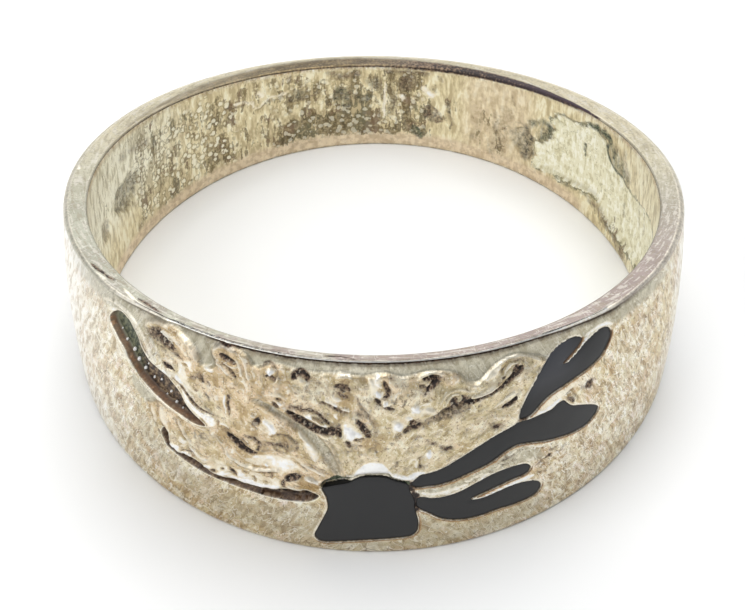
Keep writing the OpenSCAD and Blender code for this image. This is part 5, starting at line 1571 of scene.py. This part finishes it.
    # a painted highlight line round the hollows, and a painted brown shadow fringe under the inlays' lower
    # right edges
    fringe = (0.0 - flank).above(0.1, 0.6)
    lip = cut.line(-0.022, 0.022) * 0.7 * (1.0 - fringe)
    base = f.mix(lip * hue.above(0.6, 0.1) * tone.above(-0.5, -0.2), base, colour(*silver["lip"]))
    burnt = f.ladder(cut + (spots - 0.5) * 0.08, 0.012, (182, 148, 106), [
        (-0.060, (138, 102, 68)), (-0.030, (78, 58, 44))])
    foot = (cut + (fine - 0.5) * 0.12).above(-0.115, -0.06) * cut.above(0.01, 0.0)
    base = f.mix(foot * fringe * tone.above(-0.9, -0.7) * 0.9, base, burnt)
    dark = f.node("ShaderNodeMath", {"operation": "MAXIMUM"}, {0: deep, 1: sunk})
    f.feed(f.shader.inputs["Base Color"], base)
    f.feed(f.shader.inputs["Metallic"], silver["metallic"] - 0.6 * dark - 0.4 * light)
    roughness = silver["roughness"] + 0.2 * skin + 0.15 * deep - 0.05 * light
    f.feed(f.shader.inputs["Roughness"], roughness.held())
    height = mottle * (0.5 + 0.8 * speck) + fine * 0.12 + (melt * 0.7 + flow * 0.4) * relief
    height = height + skin * (0.1 + 0.3 * relief + 0.8 * tarnish)
    f.raised(height + glint * 0.3, silver["bumpStrength"], silver["bumpDepth"])
    return f.material


enamelLook = {
    "dark": (12, 12, 14), "cloud": (20, 20, 22), "ends": (5, 5, 6), "sheen": (60, 61, 67),
    "roughness": 0.42, "bumpStrength": 0.1, "bumpDepth": 0.006,
}


def enamelFinish():
    f = Finish("dark_enamel")
    look = enamelLook
    place = f.node("ShaderNodeTexCoord", {}, {}, 3)
    cloud = f.grain(place, 0.9, 3.0, 0.5, 6.0)
    fine = f.grain(place, 0.05, 2.0, 0.5, 7.0)
    # painted sheen: a paler colour on the left lobe of the upper fork
    across, up = f.place(0), f.place(2)
    sheen = across.above(4.5, 5.2) * across.above(6.9, 6.0) * up.above(5.2, 6.4)
    shine = f.mix(cloud, colour(*look["dark"]), colour(*look["cloud"]))
    shine = f.mix(across.above(2.0, 5.0) * up.above(5.6, 4.8), shine, colour(*look["ends"]))
    shine = f.mix(sheen * 0.8, shine, colour(*look["sheen"]))
    f.feed(f.shader.inputs["Base Color"], shine)
    f.feed(f.shader.inputs["Roughness"], (look["roughness"] + 0.1 * cloud).held())
    f.raised(fine, look["bumpStrength"], look["bumpDepth"])
    return f.material


bandPiece.data.materials.append(silverFinish())
enamel = enamelFinish()
for piece in inlays:
    piece.data.materials.append(enamel)
print("finishes done")


# floor, light and camera
studio = {
    "floorColour": (246, 246, 245), "floorRoughness": 0.8, "floorSize": 1.2,
    "skyColour": (0.93, 0.96, 1.0, 1), "skyStrength": 0.42, "aim": (0, 0, 0.003),
}


def floorFinish():
    f = Finish("pale_floor")
    f.feed(f.shader.inputs["Base Color"], colour(*studio["floorColour"]))
    f.feed(f.shader.inputs["Roughness"], studio["floorRoughness"])
    return f.material


bpy.ops.object.select_all(action="DESELECT")
bpy.ops.mesh.primitive_plane_add(size=studio["floorSize"], location=(0, 0, 0))
floor = bpy.context.object
floor.name = "floor"
floor.data.materials.append(floorFinish())

world = bpy.data.worlds.new("studio")
bpy.context.scene.world = world
world.use_nodes = True
sky = world.node_tree.nodes["Background"]
sky.inputs[0].default_value = studio["skyColour"]
sky.inputs[1].default_value = studio["skyStrength"]

softLights = {
    # name: place in metres, size, radiance
    "top_box": ((0.03, 0.04, 0.28), 0.22, 3.1),
    "back_box": ((0.0, 0.26, 0.22), 0.30, 1.4),
    "left_box": ((-0.20, -0.14, 0.20), 0.20, 2.4),
}


def addLights():
    for name, (place, size, radiance) in softLights.items():
        bpy.ops.object.light_add(type="AREA", location=place)
        lamp = bpy.context.object
        lamp.name = name
        lamp.data.size = size
        lamp.data.energy = radiance * pi * size * size
        way = Vector(studio["aim"]) - Vector(place)
        lamp.rotation_euler = way.to_track_quat("-Z", "Y").to_euler()


addLights()

# fitted to both rims in the photo
view = {
    "azimuth": radians(3.4956), "height": radians(43.87), "distance": 61.8, "roll": radians(-0.564),
    "lens": 86.39, "sensor": 36,
    "photoWidth": 746, "shiftX": -1.0458, "shiftY": -53.7946,  # in pixels
}


def addCamera():
    a, e = view["azimuth"], view["height"]
    back = Vector((sin(a) * cos(e), -cos(a) * cos(e), sin(e)))
    right = Vector((cos(a), sin(a), 0))
    up = back.cross(right)
    centre = Vector((0, 0, ring["halfWidth"] * cos(ring["taper"]))) * mm
    turned = Matrix((right, up, back)).transposed().to_4x4()
    turned = turned @ Matrix.Rotation(view["roll"], 4, "Z")
    bpy.ops.object.camera_add(location=centre + back * view["distance"] * mm)
    cam = bpy.context.object
    cam.matrix_world = Matrix.Translation(cam.location) @ turned
    cam.data.sensor_width = view["sensor"]
    cam.data.lens = view["lens"]
    cam.data.shift_x = view["shiftX"] / view["photoWidth"]
    cam.data.shift_y = view["shiftY"] / view["photoWidth"]
    cam.data.clip_start = 0.001
    bpy.context.scene.camera = cam


addCamera()
bpy.context.scene.view_settings.view_transform = "Standard"
print("stage done")
